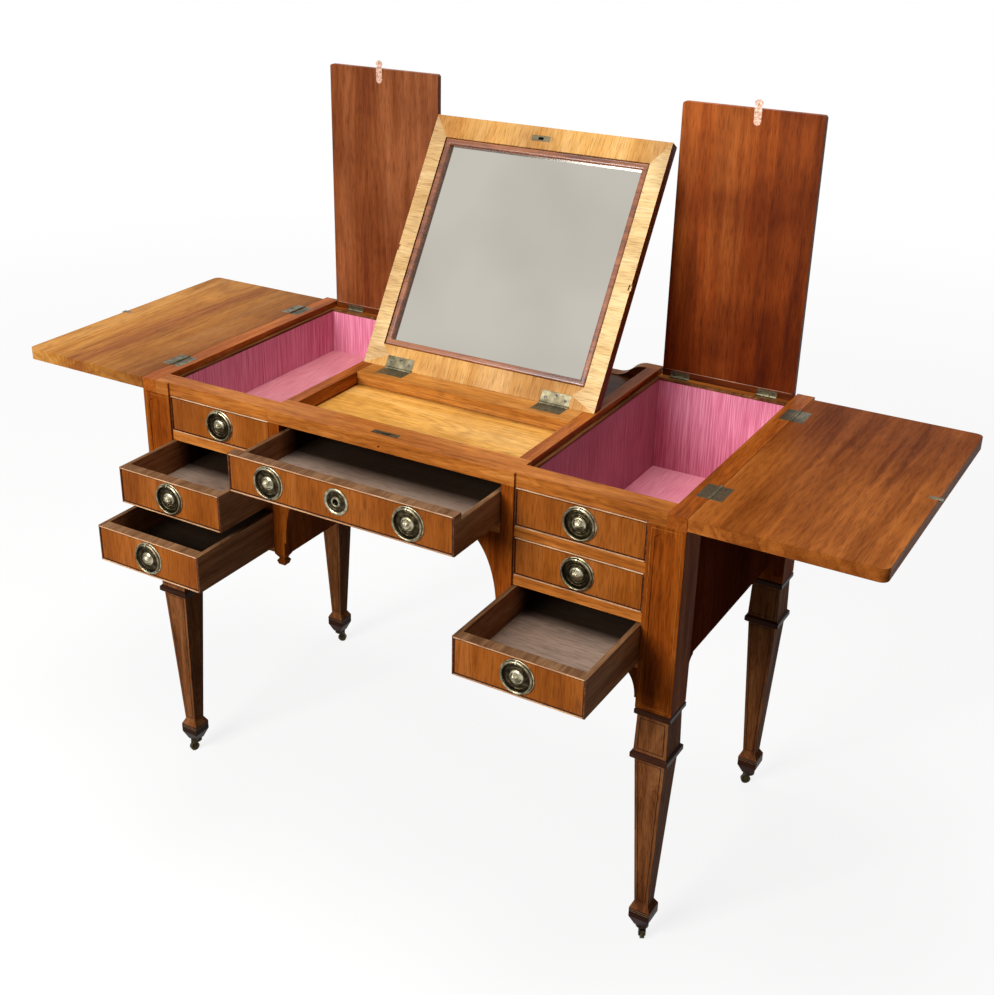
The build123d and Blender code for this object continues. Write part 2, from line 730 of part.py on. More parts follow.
# ---- Flaps over the wells, each with a finger tab at its free edge ----
flap_face = flap_y + axis_lift
flap_foot = flap_z + seat_gap
flap_top = flap_z + flap_length
for side_name, side in SIDES.items():
    pockets = [hinge_pocket(flap_hinge_planes(side, x)[1], flap_hinge) for x in flap_hinge_x]
    plates = [hinge_half(flap_hinge_planes(side, x)[1], flap_hinge, False) for x in flap_hinge_x]
    flap_x = (side * flap_in, side * flap_out)
    flap_thickness = (flap_face, flap_face + flap_thick)
    tab_low = flap_top - tab_plate
    with BuildPart() as flap:
        board(flap_x, flap_thickness, (flap_foot, flap_z + flap_clamp))
        board(flap_x, flap_thickness, (flap_z + flap_clamp + glue_gap, flap_top))
        fillet(flap.edges().filter_by(Axis.Y).group_by(Axis.Z)[-1], flap_corner)
        add(pockets, mode=Mode.SUBTRACT)
        with BuildSketch(upright((side * tab_x, flap_face, 0), (1, 0, 0))):
            with Locations((0, (tab_low + flap_top) / 2)):
                Rectangle(tab_width + 2 * glue_gap, flap_top - tab_low)
            with Locations((0, tab_low)):
                Circle(tab_width / 2 + glue_gap)
        extrude(amount=-tab_thick - glue_gap, mode=Mode.SUBTRACT)
    keep(flap, f"flap_{side_name}")
    with BuildPart() as brass:
        add(plates)
        with BuildSketch(upright((side * tab_x, flap_face, 0), (1, 0, 0))) as tab:
            with Locations((0, (tab_low + flap_top + tab_reach) / 2)):
                Rectangle(tab_width, flap_top + tab_reach - tab_low)
            chamfer(tab.vertices().group_by(Axis.Z)[-1], tab_bevel)
            with Locations((0, tab_low)):
                Circle(tab_width / 2)
            with Locations(*((x, flap_top + tab_waist) for x in (-tab_width / 2, tab_width / 2))):
                Rectangle(tab_waist, tab_waist, rotation=45, mode=Mode.SUBTRACT)
        extrude(amount=-tab_thick)
    keep(brass, f"flap_{side_name}_brass")

# ---- Mirror carriage: slides back in the dividers' grooves so that the lid can shut flush ----
hinge_spots = (-lid_hinge_x, lid_hinge_x)
fixed_hinges = [Plane((x, lid_y, axis_z), x_dir=(-1, 0, 0)) for x in hinge_spots]
pockets = [hinge_pocket(plane, carriage_hinge) for plane in fixed_hinges]
plates = [hinge_half(plane, carriage_hinge, True) for plane in fixed_hinges]
carriage_half = centre_half - carriage_play
carriage_low = recess_top + seat_gap
with BuildPart() as carriage:
    with BuildSketch(upright((0, lid_y, 0), (0, 1, 0))):
        with BuildLine():
            Polyline(
                (nosing_proud - carriage_rail, carriage_low),
                (nosing_proud - carriage_rail, top_height - nosing),
                (-carriage_rail, top_height - nosing),
                (-carriage_rail, top_height),
                (carriage_tail, top_height),
                (carriage_tail, top_height - tail_thick),
                (carriage_seat, top_height - tail_thick),
                (carriage_seat, carriage_low),
                close=True,
            )
        profile = make_face()
        fillet(profile.vertices().sort_by(Axis.Y)[:2], nosing_round)
    extrude(amount=carriage_half, both=True)
    for side in SIDES.values():
        board(
            (side * carriage_half, side * (centre_half + tongue)),
            (lid_y + nosing_proud - carriage_rail, lid_y + carriage_seat),
            (carriage_low, carriage_low + tongue_thick),
        )
    add(pockets, mode=Mode.SUBTRACT)
    add(plates)
keep(carriage, "mirror_carriage")

# ---- Mirror lid: board, frame, moulding and glass, cut off level at the foot where it rests ----
rest = Plane((0, lid_y, axis_z + axis_lift))
face_z = -axis_lift
board_z = face_z - leaf_thick + lid_board
lid_y_range = (leaf_gap, lid_length + leaf_gap)
opening_x = lid_half - lid_side
opening_y = (lid_end, lid_length + leaf_gap - lid_end)
strike_x = (lock_x - strike[0] / 2, lock_x + strike[0] / 2)
strike_mid = lid_length + leaf_gap - lock_y
strike_y = (strike_mid - strike[1] / 2, strike_mid + strike[1] / 2)
notch_mid = lid_length + leaf_gap - catch_y
notch_half = catch_width / 2 + catch_play
notch_in = lid_half + centre_gap - catch_reach - catch_play
with BuildPart(lid_plane) as lid_top:
    board((-lid_half, lid_half), lid_y_range, (board_z - lid_board, board_z))
    split(bisect_by=rest)
keep(lid_top, "mirror_board")

# Inside the lid's own plane a hinge is placed along the pin alone.
pockets = [hinge_pocket(Plane((x, 0, 0)), lid_hinge) for x in hinge_spots]
plates = [hinge_half(Plane((x, 0, 0)), lid_hinge, False) for x in hinge_spots]
with BuildPart(lid_plane) as lid_frame:
    board((-lid_half, lid_half), lid_y_range, (board_z + glue_gap, face_z))
    board((-opening_x, opening_x), opening_y, (board_z, face_z), Mode.SUBTRACT)
    for side in SIDES.values():
        board(
            (side * notch_in, side * lid_half),
            (notch_mid - notch_half, notch_mid + notch_half),
            (face_z - catch_thick - catch_play, face_z),
            Mode.SUBTRACT,
        )
    board(
        (strike_x[0] - glue_gap, strike_x[1] + glue_gap),
        (strike_y[0] - glue_gap, strike_y[1] + glue_gap),
        (face_z - strike[2] - glue_gap, face_z),
        Mode.SUBTRACT,
    )
    add(pockets, mode=Mode.SUBTRACT)
    split(bisect_by=rest)
keep(lid_frame, "mirror_frame")

mould_low = board_z + glue_gap + glass_thick + glue_gap
mould_high = face_z - mould_sink
mould_y = (opening_y[0] + glue_gap, opening_y[1] - glue_gap)
mould_x = opening_x - glue_gap
with BuildPart(lid_plane) as moulding:
    board((-mould_x, mould_x), mould_y, (mould_low, mould_high))
    board(
        (mould_width - mould_x, mould_x - mould_width),
        (mould_y[0] + mould_width, mould_y[1] - mould_width),
        (mould_low, mould_high),
        Mode.SUBTRACT,
    )
    crown = moulding.faces().sort_by(Axis(rest.origin, lid_plane.z_dir))[-1]
    fillet(crown.edges(), mould_round)
keep(moulding, "mirror_moulding")

with BuildPart(lid_plane) as glass:
    board((-mould_x, mould_x), mould_y, (board_z + glue_gap, board_z + glue_gap + glass_thick))
keep(glass, "mirror_glass")

with BuildPart(lid_plane) as lid_brass:
    board(strike_x, strike_y, (face_z - strike[2], face_z))
    add(plates)
keep(lid_brass, "mirror_brass")

# ---- Ring handles: a dished round plate with a domed boss and a lug that the ring hangs in ----
ring_height = rose_thick + 2 * ring_play + ring_wire
with BuildPart() as rose_plate:
    with BuildSketch():
        RegularPolygon(rose, rose_sides)
    extrude(amount=rose_thick)
    # The boss narrows to a shoulder and on to its crown.
    for (low, low_half), (high, high_half) in zip(boss_stages, boss_stages[1:]):
        with BuildSketch(Plane.XY.offset(rose_thick + low)):
            RegularPolygon(low_half, boss_sides, major_radius=False)
        extrude(amount=high - low, taper=degrees(atan2(low_half - high_half, high - low)))
    eye = 2 * (ring_wire + ring_play)
    with Locations((0, ring_radius, ring_height)):
        Box(lug_width, eye + 2 * lug_wall, eye + 2 * lug_wall)
        Box(lug_width, eye, eye, mode=Mode.SUBTRACT)

with BuildPart() as ring:
    with BuildSketch(Plane.XY.offset(ring_height - ring_wire)):
        # One flat lies in the lug.
        for radius, mode in ((ring_radius + ring_wire, Mode.ADD), (ring_radius - ring_wire, Mode.SUBTRACT)):
            RegularPolygon(radius, rose_sides, major_radius=False, rotation=180 / rose_sides, mode=mode)
    extrude(amount=2 * ring_wire)
    chamfer(ring.faces().filter_by(Axis.Z).edges(), ring_bevel)

with BuildPart() as key_plate:
    Cylinder(escutcheon, rose_thick, align=(Align.CENTER, Align.CENTER, Align.MIN))
    chamfer(key_plate.faces().sort_by(Axis.Z)[-1].edges(), rose_thick / 2)


def handle_plane(x, face, top):
    """Plane of a handle on a front: z points out to the sitter."""
    return Plane((x, face - glue_gap, top - bay_handle_drop), x_dir=(1, 0, 0), z_dir=(0, -1, 0))


bay_middle = (bay_in + bay_out) / 2
fixed_spots = {
    f"{side_name}_{row + 1}": handle_plane(side * bay_middle, bay_face, row_low[row] + row_height)
    for side_name, side in SIDES.items()
    for row in range(len(false_rows[side_name]))
}
drawer_spots = {}
for name, ((left, right), face, low, side_drop) in drawers.items():
    if name == "centre":
        reach = centre_half - centre_handle_inset
        spread = {f"{name}_left": -reach, f"{name}_right": reach}
    else:
        spread = {name: (left + right) / 2}
    drawer_spots[name] = {spot: handle_plane(x, face, low + row_height) for spot, x in spread.items()}

with BuildPart() as fixed_roses:
    with Locations(*fixed_spots.values()):
        add(rose_plate.part)
keep(fixed_roses, "handle_plates_fixed")

for name, spots in drawer_spots.items():
    with BuildPart() as roses:
        with Locations(*spots.values()):
            add(rose_plate.part)
        if name == "centre":
            with Locations(handle_plane(0, centre_face, key_z + bay_handle_drop)):
                add(key_plate.part)
            keyhole(0, key_z, centre_face, -handle_proud)
            lock_rear = centre_face + front_thick + glue_gap
            board(
                (-drawer_lock[0] / 2, drawer_lock[0] / 2),
                (lock_rear, lock_rear + drawer_lock[1]),
                (key_z - drawer_lock[2] / 2, key_z + drawer_lock[2] / 2),
            )
    keep(roses, f"handle_plates_{name}")

ring_spots = dict(fixed_spots)
for spots in drawer_spots.values():
    ring_spots.update(spots)
for name, plane in ring_spots.items():
    with BuildPart() as hanging:
        with Locations(plane):
            add(ring.part)
    keep(hanging, f"ring_{name}")

# ---- Castors: a forked crown that turns on its stem in the leg, and a wheel on an axle ----
crown_high = toe_foot - seat_gap
cheek_y = wheel_width / 2 + seat_gap + cheek / 2
with BuildPart() as fork:
    with BuildSketch(Plane.XY.offset(crown_low)):
        RegularPolygon(crown_radius, rose_sides)
    extrude(amount=crown_high - crown_low)
    with Locations((0, 0, crown_high)):
        Cylinder(stem_radius, stem_length, align=(Align.CENTER, Align.CENTER, Align.MIN))
    for side in SIDES.values():
        with BuildSketch(upright((trail, side * cheek_y, wheel_radius), (1, 0, 0))) as cheek_plate:
            with Locations((0, (crown_low - wheel_radius + cheek - cheek_half) / 2)):
                Rectangle(2 * cheek_half, crown_low - wheel_radius + cheek + cheek_half)
            chamfer(cheek_plate.vertices().group_by(Axis.Z)[0], cheek_bevel)
        extrude(amount=cheek / 2, both=True)
    with Locations(Location((trail, 0, wheel_radius), (90, 0, 0))):
        Cylinder(axle_radius, 2 * cheek_y + cheek)

with BuildPart() as wheel:
    with Locations(Location((trail, 0, wheel_radius), (90, 0, 0))):
        Cylinder(wheel_radius, wheel_width)
        Cylinder(axle_radius + stem_play, wheel_width, mode=Mode.SUBTRACT)

for name, turn in castor_turn.items():
    end, side_name = name.split("_")
    spot = Location((SIDES[side_name] * leg_in, leg_y[end], 0), (0, 0, turn))
    for prototype, kind in ((fork, "fork"), (wheel, "wheel")):
        with BuildPart() as piece:
            with Locations(spot):
                add(prototype.part)
        keep(piece, f"castor_{kind}_{name}")
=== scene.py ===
# A poudreuse dressing table, standing open: leaves out level, flaps and mirror up, four drawers
# pulled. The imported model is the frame, and each section below is one stage of finishing it, from
# the legs to the castors. Metres, +Z up, +X the sitter's right, +Y the back.
import math

import bpy
from mathutils import Matrix, Vector


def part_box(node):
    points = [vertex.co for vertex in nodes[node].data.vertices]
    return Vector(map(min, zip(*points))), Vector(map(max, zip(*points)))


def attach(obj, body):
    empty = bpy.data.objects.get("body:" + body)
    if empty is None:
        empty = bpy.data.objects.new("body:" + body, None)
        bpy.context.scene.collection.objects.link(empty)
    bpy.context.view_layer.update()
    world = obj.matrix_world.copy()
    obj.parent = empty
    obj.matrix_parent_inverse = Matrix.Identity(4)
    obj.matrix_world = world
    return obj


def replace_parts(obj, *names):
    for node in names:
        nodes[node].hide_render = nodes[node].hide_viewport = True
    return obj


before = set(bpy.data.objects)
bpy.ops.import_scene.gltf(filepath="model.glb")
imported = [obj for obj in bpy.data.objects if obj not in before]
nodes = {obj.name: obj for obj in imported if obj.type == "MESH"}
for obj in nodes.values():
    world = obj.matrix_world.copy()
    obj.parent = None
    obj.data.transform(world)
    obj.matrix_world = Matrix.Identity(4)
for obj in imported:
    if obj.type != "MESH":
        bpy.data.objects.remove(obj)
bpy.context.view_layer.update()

MM = 0.001

# ---- Legs and corner posts ----
# Each corner is one length of solid mahogany, square above and tapered below the collars, then
# waxed. The faces of the block and the shank are strung with dark lines let into the wood.


def linear(code):
    """The linear colour of an sRGB hex value."""
    parts = (int(code[i : i + 2], 16) / 255 for i in (1, 3, 5))
    return (*(c / 12.92 if c <= 0.04045 else ((c + 0.055) / 1.055) ** 2.4 for c in parts), 1.0)


def add_node(tree, kind, inputs, **settings):
    """Add a node to a tree. Each input, by name or number, gets a value or is linked to a socket."""
    node = tree.nodes.new(kind)
    for setting, value in settings.items():
        setattr(node, setting, value)
    for socket, value in inputs.items():
        if isinstance(value, bpy.types.NodeSocket):
            tree.links.new(value, node.inputs[socket])
        else:
            node.inputs[socket].default_value = value
    return node


def shades(tree, factor, stops):
    """A colour ramp over factor with a hex colour at each stop."""
    ramp = add_node(tree, "ShaderNodeValToRGB", {0: factor})
    while len(ramp.color_ramp.elements) < len(stops):
        ramp.color_ramp.elements.new(1.0)
    for element, (place, code) in zip(ramp.color_ramp.elements, stops):
        element.position = place
        element.color = linear(code)
    return ramp.outputs[0]


def new_material(name):
    """An empty material, its node tree and the tree's output."""
    material = bpy.data.materials.new(name)
    material.use_nodes = True
    tree = material.node_tree
    tree.nodes.clear()
    return material, tree, tree.nodes.new("ShaderNodeOutputMaterial")


LEAN = math.radians(32)
GRAIN_TURN = {
    "x": (0, 0, math.pi / 2),
    "y": (0, 0, 0),
    "z": (math.pi / 2, 0, 0),
    "lid": (math.pi / 2 + LEAN, 0, 0),
}
# How far the figure is drawn out along the grain, and the width in millimetres of the pores, as
# coarse as they need to show, and of the areas that darken as a whole.
GRAIN_STRETCH = 0.07
PORE_WIDTH = 1.7
AREA_WIDTH = 170
MULTIPLY = {"data_type": "RGBA", "blend_type": "MULTIPLY"}


def wood(
    name, dark, mid, light, grain, streak=14, figure=60, patch=0.3, gloss=0.42, shine=0.06, lines=0.3,
    edge=1.0, deep=None,
):
    """Waxed wood with its grain along one axis. Streak and figure are widths across the grain in
    millimetres. Patch is how far whole areas darken, shine how far the wax reflects, lines how plain
    the growth lines are, and edge the radius of the worn arrises. Deep gives an axis, where the wood
    begins to darken along it, where it has gone darkest, and by what colour."""
    material, tree, output = new_material(name)
    place = add_node(tree, "ShaderNodeTexCoord", {}).outputs["Object"]
    # Turned so that the grain lies along the pattern's y, and drawn out along it.
    turned = add_node(tree, "ShaderNodeMapping", {0: place, "Rotation": GRAIN_TURN[grain]})
    drawn = add_node(tree, "ShaderNodeMapping", {0: turned.outputs[0], "Scale": (1, GRAIN_STRETCH, 1)})
    bands, streaks, pores, areas = (
        add_node(tree, "ShaderNodeTexNoise", {"Vector": along.outputs[0], "Scale": 1000 / width, **kind})
        for along, width, kind in (
            (drawn, figure, {"Detail": 2.0, "Distortion": 0.8}),
            (drawn, streak, {"Detail": 5.0, "Roughness": 0.6, "Distortion": 0.3}),
            (drawn, PORE_WIDTH, {"Detail": 1.0}),
            (turned, AREA_WIDTH, {"Detail": 3.0}),
        )
    )
    both = add_node(tree, "ShaderNodeMix", {0: 0.42, 2: bands.outputs[0], 3: streaks.outputs[0]})
    colour = shades(tree, both.outputs[0], ((0.36, dark), (0.5, mid), (0.65, light)))
    # Growth lines follow the bands as contours follow a hill, so they close into arches and eyes.
    steps = add_node(tree, "ShaderNodeMath", {0: bands.outputs[0], 1: 18.0}, operation="MULTIPLY")
    uneven = add_node(tree, "ShaderNodeMath", {0: steps.outputs[0], 1: streaks.outputs[0]})
    waves = add_node(tree, "ShaderNodeMath", {0: uneven.outputs[0], 1: 0.5}, operation="PINGPONG")
    growth = shades(tree, waves.outputs[0], ((0.0, "#a08474"), (0.3, "#ffffff")))
    lined = add_node(tree, "ShaderNodeMix", {0: lines, 6: colour, 7: growth}, **MULTIPLY)
    fine = shades(tree, pores.outputs[0], ((0.36, "#9a8a80"), (0.48, "#ffffff")))
    shaded = add_node(tree, "ShaderNodeMix", {0: 0.4, 6: lined.outputs[2], 7: fine}, **MULTIPLY)
    veil = shades(tree, areas.outputs[0], ((0.36, "#8c5c44"), (0.6, "#ffffff")))
    clouded = add_node(tree, "ShaderNodeMix", {0: patch, 6: shaded.outputs[2], 7: veil}, **MULTIPLY)
    # A darkening along one axis, used as painted shade on the drawers, the recess panel and the right flap.
    if deep:
        axis, start, end, code = deep
        parts = add_node(tree, "ShaderNodeSeparateXYZ", {0: place})
        far = add_node(tree, "ShaderNodeMapRange", {0: parts.outputs[axis], 1: start, 2: end})
        deeper = {0: far.outputs[0], 6: clouded.outputs[2], 7: linear(code)}
        clouded = add_node(tree, "ShaderNodeMix", deeper, **MULTIPLY)
    rough = {0: streaks.outputs[0], 1: 0.3, 2: 0.7, 3: gloss + 0.06, 4: gloss - 0.06}
    wax = add_node(tree, "ShaderNodeMapRange", rough)
    arris = add_node(tree, "ShaderNodeBevel", {"Radius": edge * MM}, samples=4)
    relief = add_node(
        tree,
        "ShaderNodeBump",
        {"Strength": 0.1, "Distance": 0.3 * MM, "Height": pores.outputs[0], "Normal": arris.outputs[0]},
    )
    surface = add_node(
        tree,
        "ShaderNodeBsdfPrincipled",
        {"Base Color": clouded.outputs[2], "Roughness": wax.outputs[0], "Normal": relief.outputs[0]},
    )
    surface.inputs["Specular IOR Level"].default_value = shine
    tree.links.new(surface.outputs[0], output.inputs[0])
    return material


def solids(mesh):
    """The separate solids of a CAD mesh, each as its lowest corner, highest corner and faces."""
    owner = {}

    def root(key):
        while owner[key] != key:
            owner[key] = owner[owner[key]]
            key = owner[key]
        return key

    keys = [tuple(round(c * 50000) for c in vertex.co) for vertex in mesh.vertices]
    for key in keys:
        owner.setdefault(key, key)
    for face in mesh.polygons:
        first = root(keys[face.vertices[0]])
        for index in face.vertices[1:]:
            owner[root(keys[index])] = first
    groups = {}
    for face in mesh.polygons:
        groups.setdefault(root(keys[face.vertices[0]]), []).append(face)
    found = []
    for faces in groups.values():
        corners = [mesh.vertices[index].co for face in faces for index in face.vertices]
        low = Vector(min(corner[axis] for corner in corners) for axis in range(3))
        high = Vector(max(corner[axis] for corner in corners) for axis in range(3))
        found.append((low, high, faces))
    return found


def finish(node, choose):
    """Give every face of a CAD node its finish: one material, or what choose picks for the box of
    the solid and the face."""
    mesh = nodes[node].data
    mesh.materials.clear()
    used = []
    for low, high, faces in solids(mesh):
        for face in faces:
            material = choose if isinstance(choose, bpy.types.Material) else choose(low, high, face)
            if material not in used:
                used.append(material)
                mesh.materials.append(material)
            face.material_index = used.index(material)


def piece(name, parts, body, smooth=False):
    """A new piece riding on a CAD body, joined from parts of vertices, faces and a material."""
    vertices, faces, picks, used = [], [], [], []
    for part_vertices, part_faces, material in parts:
        start = len(vertices)
        vertices += part_vertices
        faces += [tuple(start + i for i in face) for face in part_faces]
        if material not in used:
            used.append(material)
        picks += [used.index(material)] * len(part_faces)
    mesh = bpy.data.meshes.new(name)
    mesh.from_pydata(vertices, [], faces)
    for material in used:
        mesh.materials.append(material)
    mesh.polygons.foreach_set("material_index", picks)
    mesh.polygons.foreach_set("use_smooth", [smooth] * len(faces))
    if smooth:
        mesh.set_sharp_from_angle(angle=math.radians(40))
    made = bpy.data.objects.new(name, mesh)
    bpy.context.scene.collection.objects.link(made)
    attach(made, body)
    return made


def block(low, high, place=Matrix.Identity(4)):
    """A closed box between two corners, moved to its place."""
    ends = ((x, y, z) for x in (low[0], high[0]) for y in (low[1], high[1]) for z in (low[2], high[2]))
    faces = [(0, 1, 3, 2), (4, 6, 7, 5), (0, 4, 5, 1), (2, 3, 7, 6), (0, 2, 6, 4), (1, 5, 7, 3)]
    return [place @ Vector(end) for end in ends], faces


def strung(corners, margin, width, proud=0.12 * MM):
    """A line let into a flat face, as a frame along its edges. The corners run anticlockwise."""
    normal = (corners[1] - corners[0]).cross(corners[3] - corners[0]).normalized()
    loops = []
    for inset in (margin, margin + width):
        loop = []
        for i, corner in enumerate(corners):
            ahead = (corners[(i + 1) % 4] - corner).normalized()
            behind = (corners[i - 1] - corner).normalized()
            loop.append(corner + (ahead + behind) * inset)
        loops.append(loop)
    # The outer and the inner loop of its face, then the same two of its back.
    vertices = [v + normal * lift for lift in (proud, -proud) for loop in loops for v in loop]
    faces = []
    for i in range(4):
        k = (i + 1) % 4
        faces += [(i, k, 4 + k, 4 + i), (12 + i, 12 + k, 8 + k, 8 + i)]
        faces += [(8 + i, 8 + k, k, i), (4 + i, 4 + k, 12 + k, 12 + i)]
    return vertices, faces


# Solid mahogany, quarter sawn and waxed: orange brown above, darker and redder below, and nearly
# black on the collars and the toe.
post_wood = wood(
    "mahogany_post_waxed", "#6c310b", "#8a4310", "#9d5519", "z", streak=9, figure=34, gloss=0.5, shine=0.01
)
leg_wood = wood(
    "mahogany_leg_aged", "#5a331a", "#7c4c2a", "#91603a", "z", streak=8, figure=26, gloss=0.5, shine=0.01
)
collar_wood = wood(
    "mahogany_collar_dark", "#20100a", "#361c10", "#4a2a18", "x", streak=6, figure=20, gloss=0.3, shine=0.04
)
# Inlaid lines a millimetre wide: near black on the legs, hardly paler than the wood on the posts,
# and straw coloured round the toes.
dark_string = wood("string_line_dark", "#140904", "#1e0e07", "#2a170c", "z", streak=4, figure=12)
faint_string = wood("string_line_faint", "#94561c", "#ae6c2c", "#be8040", "z", streak=4, figure=12)
pale_string = wood("string_line_pale", "#7a5a40", "#94714f", "#ab8a66", "x", streak=4, figure=12)

# Heights and half sides of the tapered stages, top first.
post_foot = 456 * MM
post_half = 29 * MM
collars = ((443 * MM, post_foot), (363 * MM, 377 * MM))
block_taper = ((443 * MM, 25.5 * MM), (377 * MM, 27.2 * MM))
shank_taper = ((363 * MM, 25 * MM), (75 * MM, 12 * MM))
rail_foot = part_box("top_rail_front")[0].z
toe_top = 64 * MM
toe_half = 18.12 * MM
toe_lines = (57 * MM, 60.5 * MM)
line_margin = 5 * MM
line_width = 1.1 * MM
thin_line = 0.8 * MM
near = 1.5 * MM


def leg_finish(low, high, face):
    """Finish of one face of a leg, by its height."""
    z = face.center.z
    if z < toe_top + 2 * near or any(foot - near < z < head + near for foot, head in collars):
        return collar_wood
    return leg_wood if z < post_foot else post_wood


strings = []
for end in ("front", "rear"):
    for side in ("left", "right"):
        node = f"leg_{end}_{side}"
        finish(node, leg_finish)
        low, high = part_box(node)
        x, y = (low.x + high.x) / 2, (low.y + high.y) / 2
        for (head, head_half), (foot, foot_half) in (block_taper, shank_taper):
            for quarter in range(4):
                turn = Matrix.Rotation(quarter * math.pi / 2, 4, "Z")
                corners = [
                    Vector((x, y, 0)) + turn @ Vector((across * half, -half, z))
                    for across, half, z in (
                        (-1, foot_half, foot),
                        (1, foot_half, foot),
                        (1, head_half, head),
                        (-1, head_half, head),
                    )
                ]
                strings.append((*strung(corners, line_margin, line_width), dark_string))
        if end == "front":
            corners = [
                Vector((x + across * post_half, y - post_half, z))
                for across, z in ((-1, post_foot), (1, post_foot), (1, rail_foot), (-1, rail_foot))
            ]
            strings.append((*strung(corners, line_margin, thin_line), faint_string))
        for z in toe_lines:
            low, high = (x - toe_half, y - toe_half, z), (x + toe_half, y + toe_half, z + thin_line)
            strings.append((*block(low, high), pale_string))
piece("leg_stringing", strings, "carcase")

# ---- Ends, rails and back ----
# The ends are thin boards with a rail above that carries the leaf. The front and back rails are
# veneered, and everything stands between the posts, glued.
end_wood = wood(
    "mahogany_end_waxed", "#542412", "#6a2f18", "#7c3b20", "z", streak=16, figure=90, gloss=0.6, shine=0.0
)
# Straight veneer of a warm mid brown, its grain along the front and back rails or along the ends.
rail_wood_x = wood("mahogany_rail_veneer", "#8a4a16", "#ae6626", "#c6803c", "x", streak=7, figure=26)
rail_wood_y = wood("mahogany_end_rail_veneer", "#844010", "#a35619", "#b86a28", "y", streak=7, figure=26)
back_rail_foot = 745 * MM
for side in ("left", "right"):
    finish(
        f"end_{side}",
        lambda low, high, face: rail_wood_y if face.center.z > rail_foot - MM else end_wood,
    )
    finish(
        f"divider_{side}",
        lambda low, high, face: rail_wood_y if face.center.z > rail_foot else post_wood,
    )
finish(
    "back",
    lambda low, high, face: rail_wood_x if face.center.z > back_rail_foot else end_wood,
)
finish("top_rail_front", rail_wood_x)
finish("drawer_rails", rail_wood_x)
finish("brackets", post_wood)

# ---- Drawers and false fronts ----
# Mahogany veneered fronts with a cock bead, on boxes of thin dovetailed boards left bare, a dull
# brown darkened inside by painted shade. The rubbed top edges are paler.
front_wood = wood("mahogany_front_veneer", "#824412", "#945118", "#a5612a", "z", lines=0.2)
# The bead is darker than the veneer and polished. A pale line along the middle of its long sides is
# a painted highlight, and a dark line in the corner behind it is painted shadow.
bead_wood = wood(
    "cock_bead_polished", "#44200e", "#5f3418", "#7e4e2c", "x", streak=5, figure=14, gloss=0.25,
    shine=0.15, edge=1.2,
)
# The pale bead line is a painted highlight, where light would catch the rounded bead.
rubbed = wood(
    "cock_bead_painted_highlight", "#b8845a", "#d4a478", "#e6c29c", "x", streak=5, figure=14, gloss=0.25, shine=0.2
)
bead_shadow = wood("cock_bead_shadow", "#1e0c05", "#2c1309", "#3c1c0e", "z", streak=5, figure=14)
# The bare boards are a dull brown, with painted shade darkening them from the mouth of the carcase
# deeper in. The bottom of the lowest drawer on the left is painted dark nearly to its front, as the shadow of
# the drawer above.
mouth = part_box("drawer_rails")[0].y
painted_shade_inward = (1, mouth + 8 * MM, mouth + 34 * MM, "#564e46")
painted_shadow_nearly_all = (1, mouth - 150 * MM, mouth - 100 * MM, "#544c44")
side_wood = wood(
    "drawer_side_bare_painted_shade", "#64391e", "#8a5a36", "#a37652", "y", streak=12, figure=40, gloss=0.62, deep=painted_shade_inward
)
bottom_wood, painted_shadow_bottom = (
    wood(name, "#8c7868", "#9b8676", "#aa927e", "x", streak=5, gloss=0.66, lines=0.1, deep=deep)
    for name, deep in (("drawer_bottom_bare_painted_shade", painted_shade_inward), ("drawer_bottom_painted_shadow", painted_shadow_nearly_all))
)
edge_wood = wood(
    "drawer_edge_rubbed", "#5e4026", "#765438", "#8e6c4c", "y", streak=5, figure=20, gloss=0.55
)
bead_depth = 1.5 * MM
bead_width = 3 * MM
highlight_width = 2.2 * MM
shadow_width = 1.5 * MM
highlight_lift = 0.08 * MM
shadow_lift = 0.1 * MM
line_thick = 0.4 * MM
# A front is longer and higher than this, and a bottom is thinner.
front_least = (100 * MM, 20 * MM)
bottom_most = 10 * MM
low_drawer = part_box("drawer_left_lower")[1].z


def front_finish(low, high, face):
    """Finish of a drawer's front board: its bead stands before the rest."""
    return bead_wood if face.center.y < low.y + 0.9 * bead_depth else front_wood


def is_front(low, high):
    """Whether a solid is a front, by its size and by standing foremost in its node."""
    return low.y < foremost and high.x - low.x > front_least[0] and high.z - low.z > front_least[1]


def drawer_finish(low, high, face):
    """Finish of one face of a drawer: its veneered front, rubbed edges, sides or bottom."""
    if is_front(low, high) and face.normal.y < -0.2:
        return front_finish(low, high, face)
    if face.normal.z > 0.9 and high.z - low.z > front_least[1]:
        return edge_wood
    if high.z - low.z < bottom_most:
        # Painted shadow on the lowest left drawer's bottom, under the drawer above.
        return painted_shadow_bottom if high.z < low_drawer and high.x < 0 else bottom_wood
    return side_wood


def bead_lines(node, body):
    """Painted highlights along the bead's long edges, and painted shadow along the inside of it."""
    lines = []
    for low, high, faces in solids(nodes[node].data):
        if not is_front(low, high):
            continue
        proud, sunken = low.y - highlight_lift, low.y + bead_depth - shadow_lift
        left, right = low.x + bead_width, high.x - bead_width
        foot, head = low.z + bead_width, high.z - bead_width
        for z in ((low.z + foot) / 2, (high.z + head) / 2):
            ends = (left, proud, z - highlight_width / 2), (right, proud + line_thick, z + highlight_width / 2)
            lines.append((*block(*ends), rubbed))
        for x0, x1, z0, z1 in (
            (left, right, foot, foot + shadow_width),
            (left, right, head - shadow_width, head),
            (left, left + shadow_width, foot, head),
            (right - shadow_width, right, foot, head),
        ):
            lines.append((*block((x0, sunken, z0), (x1, sunken + line_thick, z1)), bead_shadow))
    piece(f"bead_lines_{node}", lines, body)


